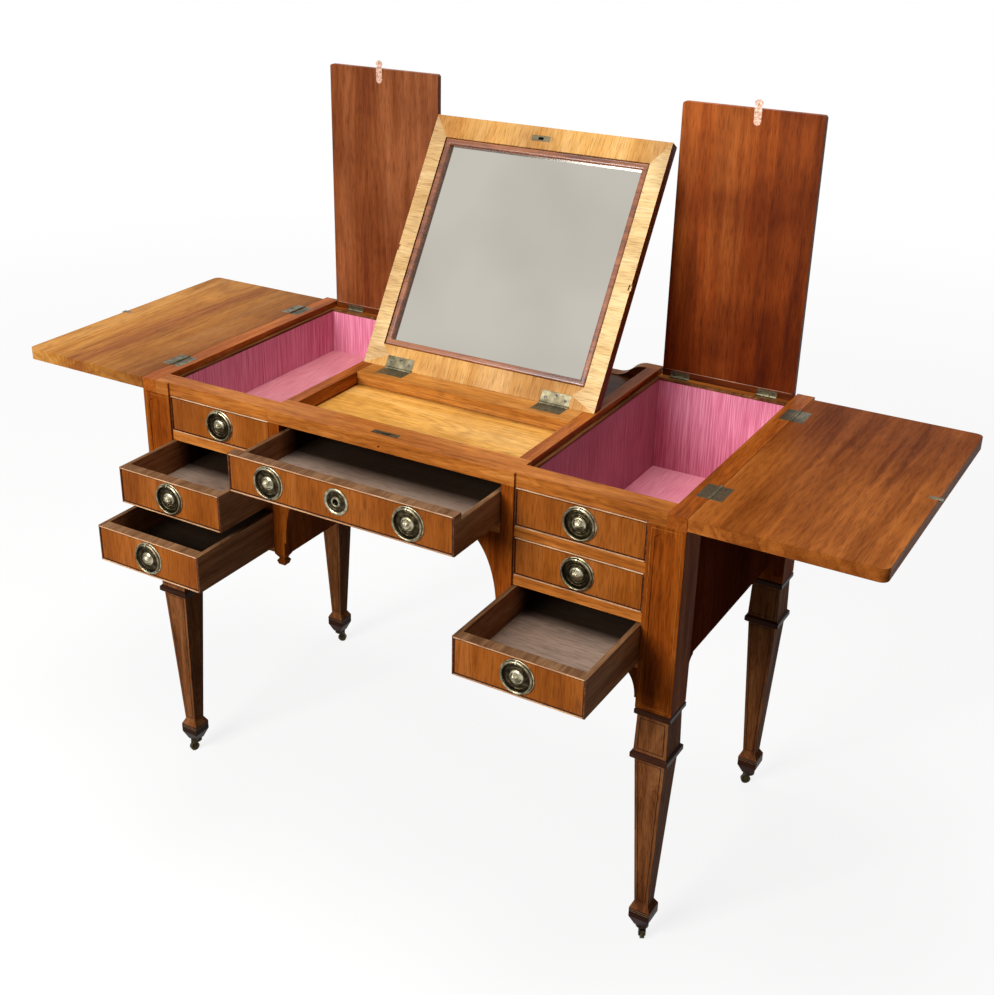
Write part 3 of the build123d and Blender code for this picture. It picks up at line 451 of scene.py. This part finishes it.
for node, body, choose in (
    ("drawer_left_upper", "drawer_left_upper", drawer_finish),
    ("drawer_left_lower", "drawer_left_lower", drawer_finish),
    ("drawer_right", "drawer_right", drawer_finish),
    ("drawer_centre", "drawer_centre", drawer_finish),
    ("false_fronts", "carcase", front_finish),
):
    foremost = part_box(node)[0].y + MM
    finish(node, choose)
    bead_lines(node, body)
finish("runners", side_wood)

# ---- Wells ----
# Boards covered with pink silk line both wells and their floors, with a bare wooden lipping on
# their upper edges. The weft stands out as fine slubs.


def silk(name, drawn, dark, mid, light):
    """Rose silk, faded. Drawn is how the slubs are stretched along each axis."""
    material, tree, output = new_material(name)
    place = add_node(tree, "ShaderNodeTexCoord", {}).outputs["Object"]
    thread = add_node(tree, "ShaderNodeMapping", {0: place, "Scale": drawn})
    # Single threads are too fine to show, so a slub here is as wide as a dozen.
    slubs = add_node(
        tree,
        "ShaderNodeTexNoise",
        {"Vector": thread.outputs[0], "Scale": 1000 / 1.7, "Detail": 2.0, "Roughness": 0.7},
    )
    faded = add_node(tree, "ShaderNodeTexNoise", {"Vector": place, "Scale": 1000 / 120, "Detail": 2.0})
    both = add_node(tree, "ShaderNodeMix", {0: 0.22, 2: slubs.outputs[0], 3: faded.outputs[0]})
    colour = shades(tree, both.outputs[0], ((0.29, dark), (0.5, mid), (0.71, light)))
    relief = add_node(
        tree, "ShaderNodeBump", {"Strength": 0.4, "Distance": 0.4 * MM, "Height": slubs.outputs[0]}
    )
    surface = add_node(
        tree,
        "ShaderNodeBsdfPrincipled",
        {
            "Base Color": colour,
            "Roughness": 0.55,
            "Specular IOR Level": 0.3,
            "Sheen Weight": 0.2,
            "Sheen Roughness": 0.4,
            "Sheen Tint": linear("#ffc9d4"),
            "Normal": relief.outputs[0],
        },
    )
    tree.links.new(surface.outputs[0], output.inputs[0])
    return material


# Dusty pink with an upright weave on the walls and a paler one on the floors, painted paler as light
# the lamps hardly give them, the right more than the left. The right well's wall facing +X is a darker copy,
# painted shade.
silk_wall = silk("silk_rose_wall", (1, 1, 0.02), "#a84868", "#cf7892", "#e6a6b8")
silk_painted_shade = silk("silk_rose_painted_shade", (1, 1, 0.02), "#82384f", "#a35e70", "#b9828f")
silk_floor_painted_light = {
    "left": silk("silk_rose_floor_left", (1, 0.03, 1), "#a85e68", "#c4767f", "#d8969e"),
    "right": silk("silk_rose_floor_right", (1, 0.03, 1), "#d47286", "#ec98a8", "#f6b8c2"),
}
# A thin dry edge of bare wood above the silk.
lipping_wood = wood("lipping_bare", "#4c2a14", "#6c4222", "#8a5c34", "y", streak=5, figure=20, gloss=0.5)
silk_thick = 7 * MM


def lining_finish(low, high, face):
    """Finish of one face of a lining, by which way its board is thin: a wall, a lipping or a floor."""
    if high.z - low.z > silk_thick:
        # Painted shade: the darker copy on the right well's wall that faces +X.
        return silk_painted_shade if side == "right" and face.normal.x > 0.7 else silk_wall
    if min(high.x - low.x, high.y - low.y) < silk_thick:
        return lipping_wood
    return silk_floor_painted_light[side]


for side in ("left", "right"):
    finish(f"silk_lining_{side}", lining_finish)

# ---- Leaves and flaps ----
# Solid mahogany boards. The leaves carry a hard old polish, the flaps are redder and plainer,
# with a cross-grained clamp at the foot.
leaf_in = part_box("leaf_left")[1].x
# The left leaf is faded to a tan gold that deepens at its hinges, and the right one is a red brown
# that deepens at the back. The right flap darkens towards its foot with painted shade from the mirror lid.
leaf_wood = {
    "left": wood(
        "mahogany_leaf_polished", "#965828", "#b97c34", "#cd9550", "y", streak=16, figure=180, shine=0.03,
        deep=(0, leaf_in - 160 * MM, leaf_in, "#bcaaac"),
    ),
    "right": wood(
        "mahogany_leaf_red", "#7f4114", "#ad6428", "#c27c3a", "y", streak=16, figure=180, shine=0.02,
        deep=(1, 20 * MM, 220 * MM, "#c8b8b0"),
    ),
}
flap_wood = {
    "left": wood(
        "mahogany_flap_red", "#6a3218", "#7e4320", "#9c5e38", "z", streak=22, figure=140, patch=0.4
    ),
    "right": wood(
        "mahogany_flap_brown", "#6a2c0c", "#a04e1a", "#bc6c30", "z", streak=22, figure=170, patch=0.6,
        # Painted shade: darker from 1160 mm down to 820 mm, where the mirror lid shades the flap.
        deep=(2, 1160 * MM, 820 * MM, "#b4a094"),
    ),
}
# The clamp is darker, and a pale line along its rounded joint with the board is a painted highlight.
clamp_highlight = wood(
    "mahogany_clamp_painted_highlight", "#8a5a44", "#b08468", "#cba48a", "x", streak=8, figure=30, shine=0.5
)
clamp_wood = wood("mahogany_clamp", "#4a1c0a", "#6a300f", "#85441a", "x", streak=8, figure=30)
clamp_most = 20 * MM
clamp_joint = 11.5 * MM
for side in ("left", "right"):
    finish(f"leaf_{side}", leaf_wood[side])
    finish(
        f"flap_{side}",
        lambda low, high, face: clamp_wood if high.z - low.z < clamp_most else flap_wood[side],
    )
    low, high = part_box(f"flap_{side}")
    # A painted highlight along the clamp's joint.
    line = block(
        (low.x + 4 * MM, low.y - 0.15 * MM, low.z + clamp_joint),
        (high.x - 4 * MM, low.y + 0.5 * MM, low.z + clamp_joint + MM),
    )
    piece(f"clamp_highlight_line_{side}", [(*line, clamp_highlight)], f"flap_{side}")

# ---- Mirror, its carriage and the recess ----
# The lid is framed in golden cross-banded mahogany round a silvered plate held by a rounded
# red moulding. The carriage slides over a golden panel.
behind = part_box("mirror_carriage")[1].y - 50 * MM
# The panel is golden, and behind the carriage painted shade darkens it where the standing lid shades the
# recess.
panel_wood = wood(
    "mahogany_golden_panel", "#b87a2a", "#dba04a", "#e8b568", "x", streak=12, figure=70,
    deep=(1, behind, behind + 40 * MM, "#6a4c3c"),
)
carriage_wood = wood("mahogany_golden_carriage", "#94561c", "#b97832", "#d09450", "x", streak=9, figure=40)
# Cross-banding bleached to straw and gold, its grain across each part of the frame.
banding = {"streak": 6, "figure": 40, "patch": 0.5, "lines": 0.15}
band_z = wood("mahogany_golden_rail", "#bc8242", "#cc9b57", "#d8ac6e", "lid", **banding)
band_x = wood("mahogany_golden_stile", "#c4a06a", "#d6b680", "#e0c694", "x", **banding)
# The moulding round the plate is redder and glossy, and the lid's back a plain red brown.
moulding_wood = wood(
    "mahogany_moulding_red", "#572a12", "#7e4522", "#9c6038", "x", streak=5, figure=18, gloss=0.25,
    shine=0.8,
)
lid_wood = wood("mahogany_lid_back", "#5c2a10", "#803f18", "#9a5426", "lid", streak=14, figure=140)
glass_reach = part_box("mirror_moulding")[1].x


def frame_finish(low, high, face):
    """Finish of one face of the lid's frame: dark edges, and the grain across every part."""
    if abs(face.normal.x) > 0.9:
        return lid_wood
    return band_x if abs(face.center.x) > glass_reach else band_z


finish("recess_panel", panel_wood)
finish("mirror_frame", frame_finish)
finish("mirror_board", lid_wood)
finish("mirror_moulding", moulding_wood)

# Plate glass silvered behind: an even grey reflection that has clouded a little.
mirror_plate, tree, output = new_material("glass_silvered")
place = add_node(tree, "ShaderNodeTexCoord", {}).outputs["Object"]
clouds = add_node(tree, "ShaderNodeTexNoise", {"Vector": place, "Scale": 1000 / 260, "Detail": 2.0})
colour = shades(tree, clouds.outputs[0], ((0.35, "#b9b4a9"), (0.65, "#c6c2b8")))
surface = add_node(
    tree, "ShaderNodeBsdfPrincipled", {"Base Color": colour, "Metallic": 1.0, "Roughness": 0.02}
)
tree.links.new(surface.outputs[0], output.inputs[0])
finish("mirror_glass", mirror_plate)

# ---- Hinges, locks and catches ----
# Cast and filed brass plates let in flush and screwed down, dulled to a grey green. The screws
# are iron, with their slots as they stopped.


def brass(name, dark, mid, light, rough=0.35, tarnish=8):
    """Old brass, darker where dirt has gathered. Tarnish is the size of its patches in millimetres."""
    material, tree, output = new_material(name)
    place = add_node(tree, "ShaderNodeTexCoord", {}).outputs["Object"]
    dirt = add_node(
        tree,
        "ShaderNodeTexNoise",
        {"Vector": place, "Scale": 1000 / tarnish, "Detail": 6.0, "Roughness": 0.6},
    )
    colour = shades(tree, dirt.outputs[0], ((0.34, dark), (0.5, mid), (0.66, light)))
    worn = {0: dirt.outputs[0], 1: 0.3, 2: 0.7, 3: rough + 0.15, 4: rough - 0.1}
    wear = add_node(tree, "ShaderNodeMapRange", worn)
    arris = add_node(tree, "ShaderNodeBevel", {"Radius": 0.4 * MM}, samples=4)
    surface = add_node(
        tree,
        "ShaderNodeBsdfPrincipled",
        {"Base Color": colour, "Metallic": 1.0, "Roughness": wear.outputs[0], "Normal": arris.outputs[0]},
    )
    tree.links.new(surface.outputs[0], output.inputs[0])
    return material


# Plates gone grey green, finger tabs rubbed to a coppery shine, a lock nearly black with grime, and
# dull iron screws. Slots and holes are filled with black as painted shade.
hinge_brass = brass("brass_hinge_tarnished", "#454030", "#5f5844", "#7c745c", rough=0.42, tarnish=22)
tab_brass = brass("brass_tab_bright", "#7c5c4c", "#b08c7a", "#cbb0a0", rough=0.5, tarnish=4)
screw_steel = brass("iron_screw_dull", "#2e2a24", "#59534a", "#80796c", rough=0.45, tarnish=3)
shadow_iron = brass("black_painted_shade", "#050403", "#0c0a08", "#171310", rough=0.7, tarnish=3)
lock_brass = brass("brass_lock_dark", "#2a2216", "#463a26", "#5e5138", rough=0.5, tarnish=14)
tab_foot = 1150 * MM
finish("lid_lock", lock_brass)
for node in ("hinge_plates", "leaf_left_brass", "leaf_right_brass", "mirror_brass"):
    finish(node, hinge_brass)
for side in ("left", "right"):
    finish(
        f"flap_{side}_brass",
        lambda low, high, face: tab_brass if face.center.z > tab_foot else hinge_brass,
    )
# The carriage's own plates are the two short solids beside its long board.
plate_most = 100 * MM
finish(
    "mirror_carriage",
    lambda low, high, face: hinge_brass if high.x - low.x < plate_most else carriage_wood,
)

group = bpy.data.node_groups.new("screw_heads", "GeometryNodeTree")
for socket, kind in (
    ("Points", "NodeSocketGeometry"),
    ("Head radius", "NodeSocketFloat"),
    ("Slot width", "NodeSocketFloat"),
    ("Head material", "NodeSocketMaterial"),
    ("Slot material", "NodeSocketMaterial"),
):
    group.interface.new_socket(socket, in_out="INPUT", socket_type=kind)
group.interface.new_socket("Screws", in_out="OUTPUT", socket_type="NodeSocketGeometry")
given = add_node(group, "NodeGroupInput", {})
head = add_node(
    group,
    "GeometryNodeMeshCylinder",
    {"Vertices": 20, "Radius": given.outputs["Head radius"], "Depth": 0.4 * MM},
)
across = add_node(group, "ShaderNodeMath", {0: given.outputs["Head radius"], 1: 1.9}, operation="MULTIPLY")
slot_size = add_node(
    group, "ShaderNodeCombineXYZ", {0: across.outputs[0], 1: given.outputs["Slot width"], 2: 0.5 * MM}
)
# The slot is a black bar on the head: painted shade in place of a cut.
cut = add_node(group, "GeometryNodeMeshCube", {"Size": slot_size.outputs[0]})
outwards = add_node(group, "GeometryNodeInputNamedAttribute", {"Name": "out"}, data_type="FLOAT_VECTOR")
upright = add_node(group, "FunctionNodeAlignRotationToVector", {"Vector": outwards.outputs[0]}, axis="Z")
# The turn at which each screw stopped: up to half a turn, from a fixed seed.
stopped = add_node(group, "FunctionNodeRandomValue", {2: 0.0, 3: math.pi, 8: 7}, data_type="FLOAT")
driven = add_node(
    group, "FunctionNodeAxisAngleToRotation", {"Axis": (0, 0, 1), "Angle": stopped.outputs[1]}
)
turned_home = add_node(
    group,
    "FunctionNodeRotateRotation",
    {"Rotation": upright.outputs[0], "Rotate By": driven.outputs[0]},
    rotation_space="LOCAL",
)
joined = add_node(group, "GeometryNodeJoinGeometry", {})
for shape, material in ((head, "Head material"), (cut, "Slot material")):
    placed = {
        "Points": given.outputs["Points"],
        "Instance": shape.outputs["Mesh"],
        "Rotation": turned_home.outputs[0],
    }
    copies = add_node(group, "GeometryNodeInstanceOnPoints", placed)
    solid = add_node(group, "GeometryNodeRealizeInstances", {0: copies.outputs[0]})
    coated = {0: solid.outputs[0], "Material": given.outputs[material]}
    branch = add_node(group, "GeometryNodeSetMaterial", coated)
    group.links.new(branch.outputs[0], joined.inputs[0])
add_node(group, "NodeGroupOutput", {0: joined.outputs[0]})


def screws(body, spots, radius=2.3 * MM):
    """Screw heads on one body, each spot a point on a plate and the plate's outward direction."""
    mesh = bpy.data.meshes.new(f"screws_{body}")
    mesh.from_pydata([spot for spot, out in spots], [], [])
    attribute = mesh.attributes.new("out", "FLOAT_VECTOR", "POINT")
    attribute.data.foreach_set("vector", [c for spot, out in spots for c in out])
    holder = bpy.data.objects.new(mesh.name, mesh)
    bpy.context.scene.collection.objects.link(holder)
    modifier = holder.modifiers.new("screws", "NODES")
    modifier.node_group = group
    values = {
        "Head radius": radius,
        "Slot width": 0.7 * MM,
        "Head material": screw_steel,
        "Slot material": shadow_iron,
    }
    for item in group.interface.items_tree:
        if item.in_out == "INPUT" and item.name in values:
            modifier[item.identifier] = values[item.name]
    seen = holder.evaluated_get(bpy.context.evaluated_depsgraph_get())
    plain = bpy.data.meshes.new_from_object(seen)
    holder.modifiers.remove(modifier)
    holder.data = plain
    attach(holder, body)


# Heads are let in, so that the two halves of a hinge can close on each other.
sunk = 0.14 * MM
head_proud = 0.15 * MM


def plate_spots(pin, along, away, out, length, width, places):
    """Spots on a hinge plate, given in shares of its length along the pin and its width from it."""
    pin, along, away, out = Vector(pin), Vector(along), Vector(away), Vector(out)
    inset = out * (head_proud + sunk)
    return [(pin + along * length * a + away * width * b - inset, out) for a, b in places]


three = ((-0.34, 0.48), (0.34, 0.48), (0, 0.76))
two = ((-0.3, 0.68), (0.3, 0.68))
# The pins' places on the carcase, and which way the open lid's plates run and face.
axis_z = 790.15 * MM
flap_axis_z = 779.15 * MM
up_lid = Vector((0, math.sin(LEAN), math.cos(LEAN)))
out_lid = Vector((0, -math.cos(LEAN), math.sin(LEAN)))
carcase_spots = []
for side, name in ((-1, "left"), (1, "right")):
    leaf_spots, flap_spots = [], []
    for y in (-71.25 * MM, 272.75 * MM):
        pin = (side * 510.4 * MM, y, axis_z)
        size = (50 * MM, 20 * MM, three)
        carcase_spots += plate_spots(pin, (0, 1, 0), (-side, 0, 0), (0, 0, 1), *size)
        leaf_spots += plate_spots(pin, (0, 1, 0), (side, 0, 0), (0, 0, 1), *size)
    for x in (270 * MM, 430 * MM):
        pin = (side * x, 359.9 * MM, flap_axis_z)
        size = (36 * MM, 10 * MM, two)
        carcase_spots += plate_spots(pin, (1, 0, 0), (0, -1, 0), (0, 0, 1), *size)
        flap_spots += plate_spots(pin, (1, 0, 0), (0, 0, 1), (0, -1, 0), *size)
    screws(f"leaf_{name}", leaf_spots)
    screws(f"flap_{name}", flap_spots, 1.7 * MM)
carriage_spots, lid_spots = [], []
lid_pin = Vector((0, 100.75 * MM, axis_z))
for x in (-155 * MM, 155 * MM):
    pin = lid_pin + Vector((x, 0, 0))
    carriage_spots += plate_spots(pin, (1, 0, 0), (0, -1, 0), (0, 0, 1), 55 * MM, 32 * MM, three)
    lid_spots += plate_spots(pin, (1, 0, 0), up_lid, out_lid, 55 * MM, 22 * MM, three)
screws("carriage", carriage_spots, 3.2 * MM)
screws("lid", lid_spots, 3.2 * MM)
lock_low, lock_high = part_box("lid_lock")
lock_x = (lock_low.x + lock_high.x) / 2
lock_y = -149.25 * MM
for x in (-19 * MM, 19 * MM):
    carcase_spots.append((Vector((lock_x + x, lock_y, lock_high.z - sunk)), Vector((0, 0, 1))))
screws("carcase", carcase_spots, 2.0 * MM)
# Black blocks as painted shade in the lock's bolt hole in the rail, and in the hole that it enters in the
# lid's striking plate.
bolt_hole = block(
    (lock_x - 9 * MM, lock_y - 1.8 * MM, lock_high.z - 0.5 * MM),
    (lock_x + 9 * MM, lock_y + 1.8 * MM, lock_high.z + 0.1 * MM),
)
piece("lock_bolt_hole", [(*bolt_hole, shadow_iron)], "carcase")
strike_reach = 449.4 * MM
lid_tilt = Matrix.Rotation(math.pi / 2 - LEAN, 4, "X")
lid_place = Matrix.Translation(lid_pin + up_lid * strike_reach) @ lid_tilt
strike_hole = block((lock_x - 5 * MM, -2.4 * MM, -0.6 * MM), (lock_x + 5 * MM, 2.4 * MM, 0), lid_place)
piece("strike_hole", [(*strike_hole, shadow_iron)], "lid")

# ---- Ring handles and key plate ----
# Each handle is a stamped round plate with raised rings, a rosette on its boss and a ring that
# hangs from an eye at its top. Rubbing keeps the high parts bright, and the dish holds old polish.
# Pale and shiny on the rims and bosses, a little browner on the rings, and near black in the dish.
bright_brass = brass("brass_handle_rubbed", "#564f3e", "#958c72", "#ccc4a8", rough=0.3, tarnish=9)
ring_brass = brass("brass_ring_worn", "#3c3628", "#7a725a", "#b4ab8e", rough=0.3, tarnish=14)
dish_brass = brass("brass_dish_dark", "#15110a", "#2e2719", "#4d4430", rough=0.45, tarnish=8)


def turned(profile, sides, place, closed=False, petals=0.0):
    """A turned solid: pairs of radius and height in millimetres, from the crown outwards and round
    to the back. A closed profile leaves a hole. Petals lift and lower the boss eight times round."""
    ring_count = len(profile)
    vertices, faces = [], []
    for radius, height in profile:
        for i in range(sides):
            angle = 2 * math.pi * i / sides
            lift = petals * math.cos(8 * angle) if 3 < radius < 9 else 0
            spot = (radius * math.cos(angle), -height - lift, radius * math.sin(angle))
            vertices.append(place @ (Vector(spot) * MM))
    for ring in range(ring_count if closed else ring_count - 1):
        for i in range(sides):
            a, b = ring * sides, (ring + 1) % ring_count * sides
            k = (i + 1) % sides
            faces.append((a + i, b + i, b + k, a + k))
    if not closed:
        last = (ring_count - 1) * sides
        faces += [tuple(range(sides)), tuple(reversed(range(last, last + sides)))]
    return vertices, faces


boss = ((0.8, 10.3), (2.4, 10.0), (4.2, 9.2), (5.8, 8.0), (7.2, 6.4), (8.3, 4.6), (9.2, 3.6))
boss += ((10.2, 3.4), (11.0, 3.0), (11.5, 2.2), (11.9, 1.2))
dish = ((11.9, 1.2), (12.6, 0.9), (13.8, 0.9), (14.5, 1.4), (15.2, 0.9), (18.6, 0.8), (19.3, 1.3))
dish += ((20.0, 0.8), (24.4, 0.9))
rim = ((24.4, 0.9), (25.4, 1.4), (26.4, 1.9), (27.3, 2.0), (28.0, 1.6), (28.4, 0.9), (28.4, 0.0))
ring_radius, ring_wire, ring_height = 24.8, 1.9, 3.9
turns = (i * math.pi / 6 for i in range(12))
coil = [(ring_radius - ring_wire * math.cos(t), ring_height + ring_wire * math.sin(t)) for t in turns]
eye = ((2.3, -1.3), (2.3, 1.3), (2.6, 1.5), (2.9, 1.5), (3.2, 1.2), (3.2, -1.2), (2.9, -1.5), (2.6, -1.5))
key_rim = ((17.5, 1.1), (18.6, 1.9), (20.0, 2.4), (21.3, 2.2), (22.2, 1.5), (22.5, 0.7), (22.5, 0.0))
key_ring = ((5.2, 0.0), (5.2, 2.4), (6.0, 3.1), (7.4, 3.0), (8.4, 2.0), (9.0, 1.0), (9.0, 0.0))
key_band = ((9.0, 0.0), (9.0, 1.0), (12.8, 0.9), (13.4, 1.3), (14.0, 0.9), (17.5, 1.1), (17.5, 0.0))
key_height = 735.8 * MM
sides = 56


def rose(node):
    """A handle's plate, boss and eye, at the middle of the ring that hangs on it."""
    low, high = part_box(node)
    face = high.y + ring_height * MM - ring_wire * MM
    place = Matrix.Translation(((low.x + high.x) / 2, face, (low.z + high.z) / 2))
    top = Matrix.Translation((0, -ring_height * MM, ring_radius * MM))
    hang = place @ top @ Matrix.Rotation(math.pi / 2, 4, "Z")
    plate = (*turned(((24.4, 0.0), *rim), sides, place, closed=True), bright_brass)
    hollow = (*turned(((11.9, 0.0), *dish, (24.4, 0.0)), sides, place, closed=True), dish_brass)
    knob = (*turned((*boss, (11.9, 0.0)), sides, place, petals=0.4), bright_brass)
    return place, [plate, hollow, knob, (*turned(eye, 20, hang, closed=True), bright_brass)]


hung = {
    "handle_plates_fixed": ("carcase", ("left_1", "right_1", "right_2")),
    "handle_plates_left_upper": ("drawer_left_upper", ("left_upper",)),
    "handle_plates_left_lower": ("drawer_left_lower", ("left_lower",)),
    "handle_plates_right": ("drawer_right", ("right",)),
    "handle_plates_centre": ("drawer_centre", ("centre_left", "centre_right")),
}
for node, (body, rings) in hung.items():
    parts = []
    for ring in rings:
        place, metal = rose(f"ring_{ring}")
        parts += metal
        coiled = [(*turned(coil, sides, place, closed=True), ring_brass)]
        hoop = piece(f"ring_turned_{ring}", coiled, f"ring_{ring}", smooth=True)
        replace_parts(hoop, f"ring_{ring}")
    if body == "drawer_centre":
        key_place = Matrix.Translation((0, place.translation.y, key_height))
        for profile, material in (
            (((17.5, 0.0), *key_rim), bright_brass),
            (key_ring, bright_brass),
            (key_band, dish_brass),
        ):
            parts.append((*turned(profile, sides, key_place, closed=True), material))
        # A black plug as painted shade inside the keyhole.
        parts.append((*turned(((5.1, 0.5), (5.1, 0.0)), sides, key_place), shadow_iron))
    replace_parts(piece(f"roses_{body}", parts, body, smooth=True), node)

# ---- Castors ----
# Small brass wheels in dark forked cups that turn in the toes.
# Both are nearly black with age, the wheels a little brighter where they run.
cup_brass = brass("brass_castor_cup_dark", "#1c1812", "#2e281c", "#463e2c", rough=0.4, tarnish=5)
wheel_brass = brass("brass_castor_wheel_dark", "#262016", "#3e3624", "#5e543c", rough=0.35, tarnish=5)
for node in nodes:
    if node.startswith("castor_"):
        finish(node, wheel_brass if "wheel" in node else cup_brass)

# ---- Studio ----
# A pale floor that runs out of sight, soft light from a large lamp on the sitter's side and a
# weaker one overhead, and the camera a little above eye level at the right front corner.


def seen_straight(tree):
    """One for what the eye sees itself, in a reflection or through a pane, and nought otherwise."""
    path = add_node(tree, "ShaderNodeLightPath", {})
    either = add_node(
        tree, "ShaderNodeMath", {0: path.outputs["Is Camera Ray"], 1: path.outputs["Is Glossy Ray"]}
    )
    return add_node(
        tree, "ShaderNodeMath", {0: either.outputs[0], 1: path.outputs["Is Transmission Ray"]}, use_clamp=True
    )


floor_mesh = bpy.data.meshes.new("floor")
reach = 30.0
floor_mesh.from_pydata(
    [(-reach, -reach, 0), (reach, -reach, 0), (reach, reach, 0), (-reach, reach, 0)], [], [(0, 1, 2, 3)]
)
floor = bpy.data.objects.new("floor", floor_mesh)
bpy.context.scene.collection.objects.link(floor)
# Matt paper: white to the eye with the table's soft shadow on it, and a mid grey to the light
# that it throws back, so that the undersides stay deep.
paper, tree, output = new_material("paper_white_matt")
seen = seen_straight(tree)
tone = add_node(
    tree,
    "ShaderNodeMix",
    {0: seen.outputs[0], 6: linear("#77746f"), 7: linear("#f4f4f2")},
    data_type="RGBA",
)
matt = add_node(tree, "ShaderNodeBsdfDiffuse", {"Color": tone.outputs[2]})
glow = add_node(tree, "ShaderNodeEmission", {"Color": (1, 1, 1, 1), "Strength": 1.0})
# A share of even white, which grows to all of it from 1.2 to 4.5 m from the table.
place = add_node(tree, "ShaderNodeTexCoord", {}).outputs["Object"]
away = add_node(tree, "ShaderNodeVectorMath", {0: place}, operation="LENGTH")
faded = add_node(tree, "ShaderNodeMapRange", {0: away.outputs["Value"], 1: 1.2, 2: 4.5, 3: 0.84, 4: 1.0})
share = add_node(tree, "ShaderNodeMath", {0: seen.outputs[0], 1: faded.outputs[0]}, operation="MULTIPLY")
mixed = add_node(
    tree, "ShaderNodeMixShader", {0: share.outputs[0], 1: matt.outputs[0], 2: glow.outputs[0]}
)
tree.links.new(mixed.outputs[0], output.inputs[0])
floor_mesh.materials.append(paper)

world = bpy.data.worlds.new("studio")
world.use_nodes = True
tree = world.node_tree
tree.nodes.clear()
seen = seen_straight(tree)
soft = add_node(tree, "ShaderNodeBackground", {"Color": (1, 1, 1, 1), "Strength": 0.12})
white = add_node(tree, "ShaderNodeBackground", {"Color": (1, 1, 1, 1), "Strength": 1.0})
mixed = add_node(
    tree, "ShaderNodeMixShader", {0: seen.outputs[0], 1: soft.outputs[0], 2: white.outputs[0]}
)
output = add_node(tree, "ShaderNodeOutputWorld", {0: mixed.outputs[0]})
bpy.context.scene.world = world

middle = Vector((0, 0, 0.7))
for name, place, size, watts in (
    ("key_lamp", (-0.9, -3.5, 2.3), 1.8, 198),
    ("top_lamp", (-0.1, 0.1, 4.2), 2.0, 98),
):
    lamp = bpy.data.lights.new(name, "AREA")
    lamp.size = size
    lamp.energy = watts
    holder = bpy.data.objects.new(name, lamp)
    holder.location = place
    holder.rotation_euler = (middle - Vector(place)).to_track_quat("-Z", "Y").to_euler()
    bpy.context.scene.collection.objects.link(holder)

# The camera's heading, dip and roll, then the focal length and optical centre in the pixels of a
# picture 994 wide and 995 high.
heading, dip, roll = math.radians(32.06), math.radians(24.88), math.radians(0.24)
focal, centre_x, centre_y = 1400.4, 440.0, 475.4
wide, high = 994, 995
ahead = Vector((-math.sin(heading) * math.cos(dip), math.cos(heading) * math.cos(dip), -math.sin(dip)))
across = Vector((math.cos(heading), math.sin(heading), 0))
above = across.cross(ahead)
right = across * math.cos(roll) + above * math.sin(roll)
up = above * math.cos(roll) - across * math.sin(roll)
camera = bpy.data.objects.new("camera", bpy.data.cameras.new("camera"))
turn = Matrix((right, up, -ahead)).transposed()
camera.matrix_world = Matrix.Translation((1.1426, -1.8303, 1.6627)) @ turn.to_4x4()
camera.data.sensor_width = 36
camera.data.lens = focal * 36 / high
camera.data.shift_x = (wide / 2 - centre_x) / high
camera.data.shift_y = (centre_y - high / 2) / high
camera.data.clip_start = 0.05
bpy.context.scene.collection.objects.link(camera)
bpy.context.scene.camera = camera
bpy.context.scene.view_settings.view_transform = "Standard"
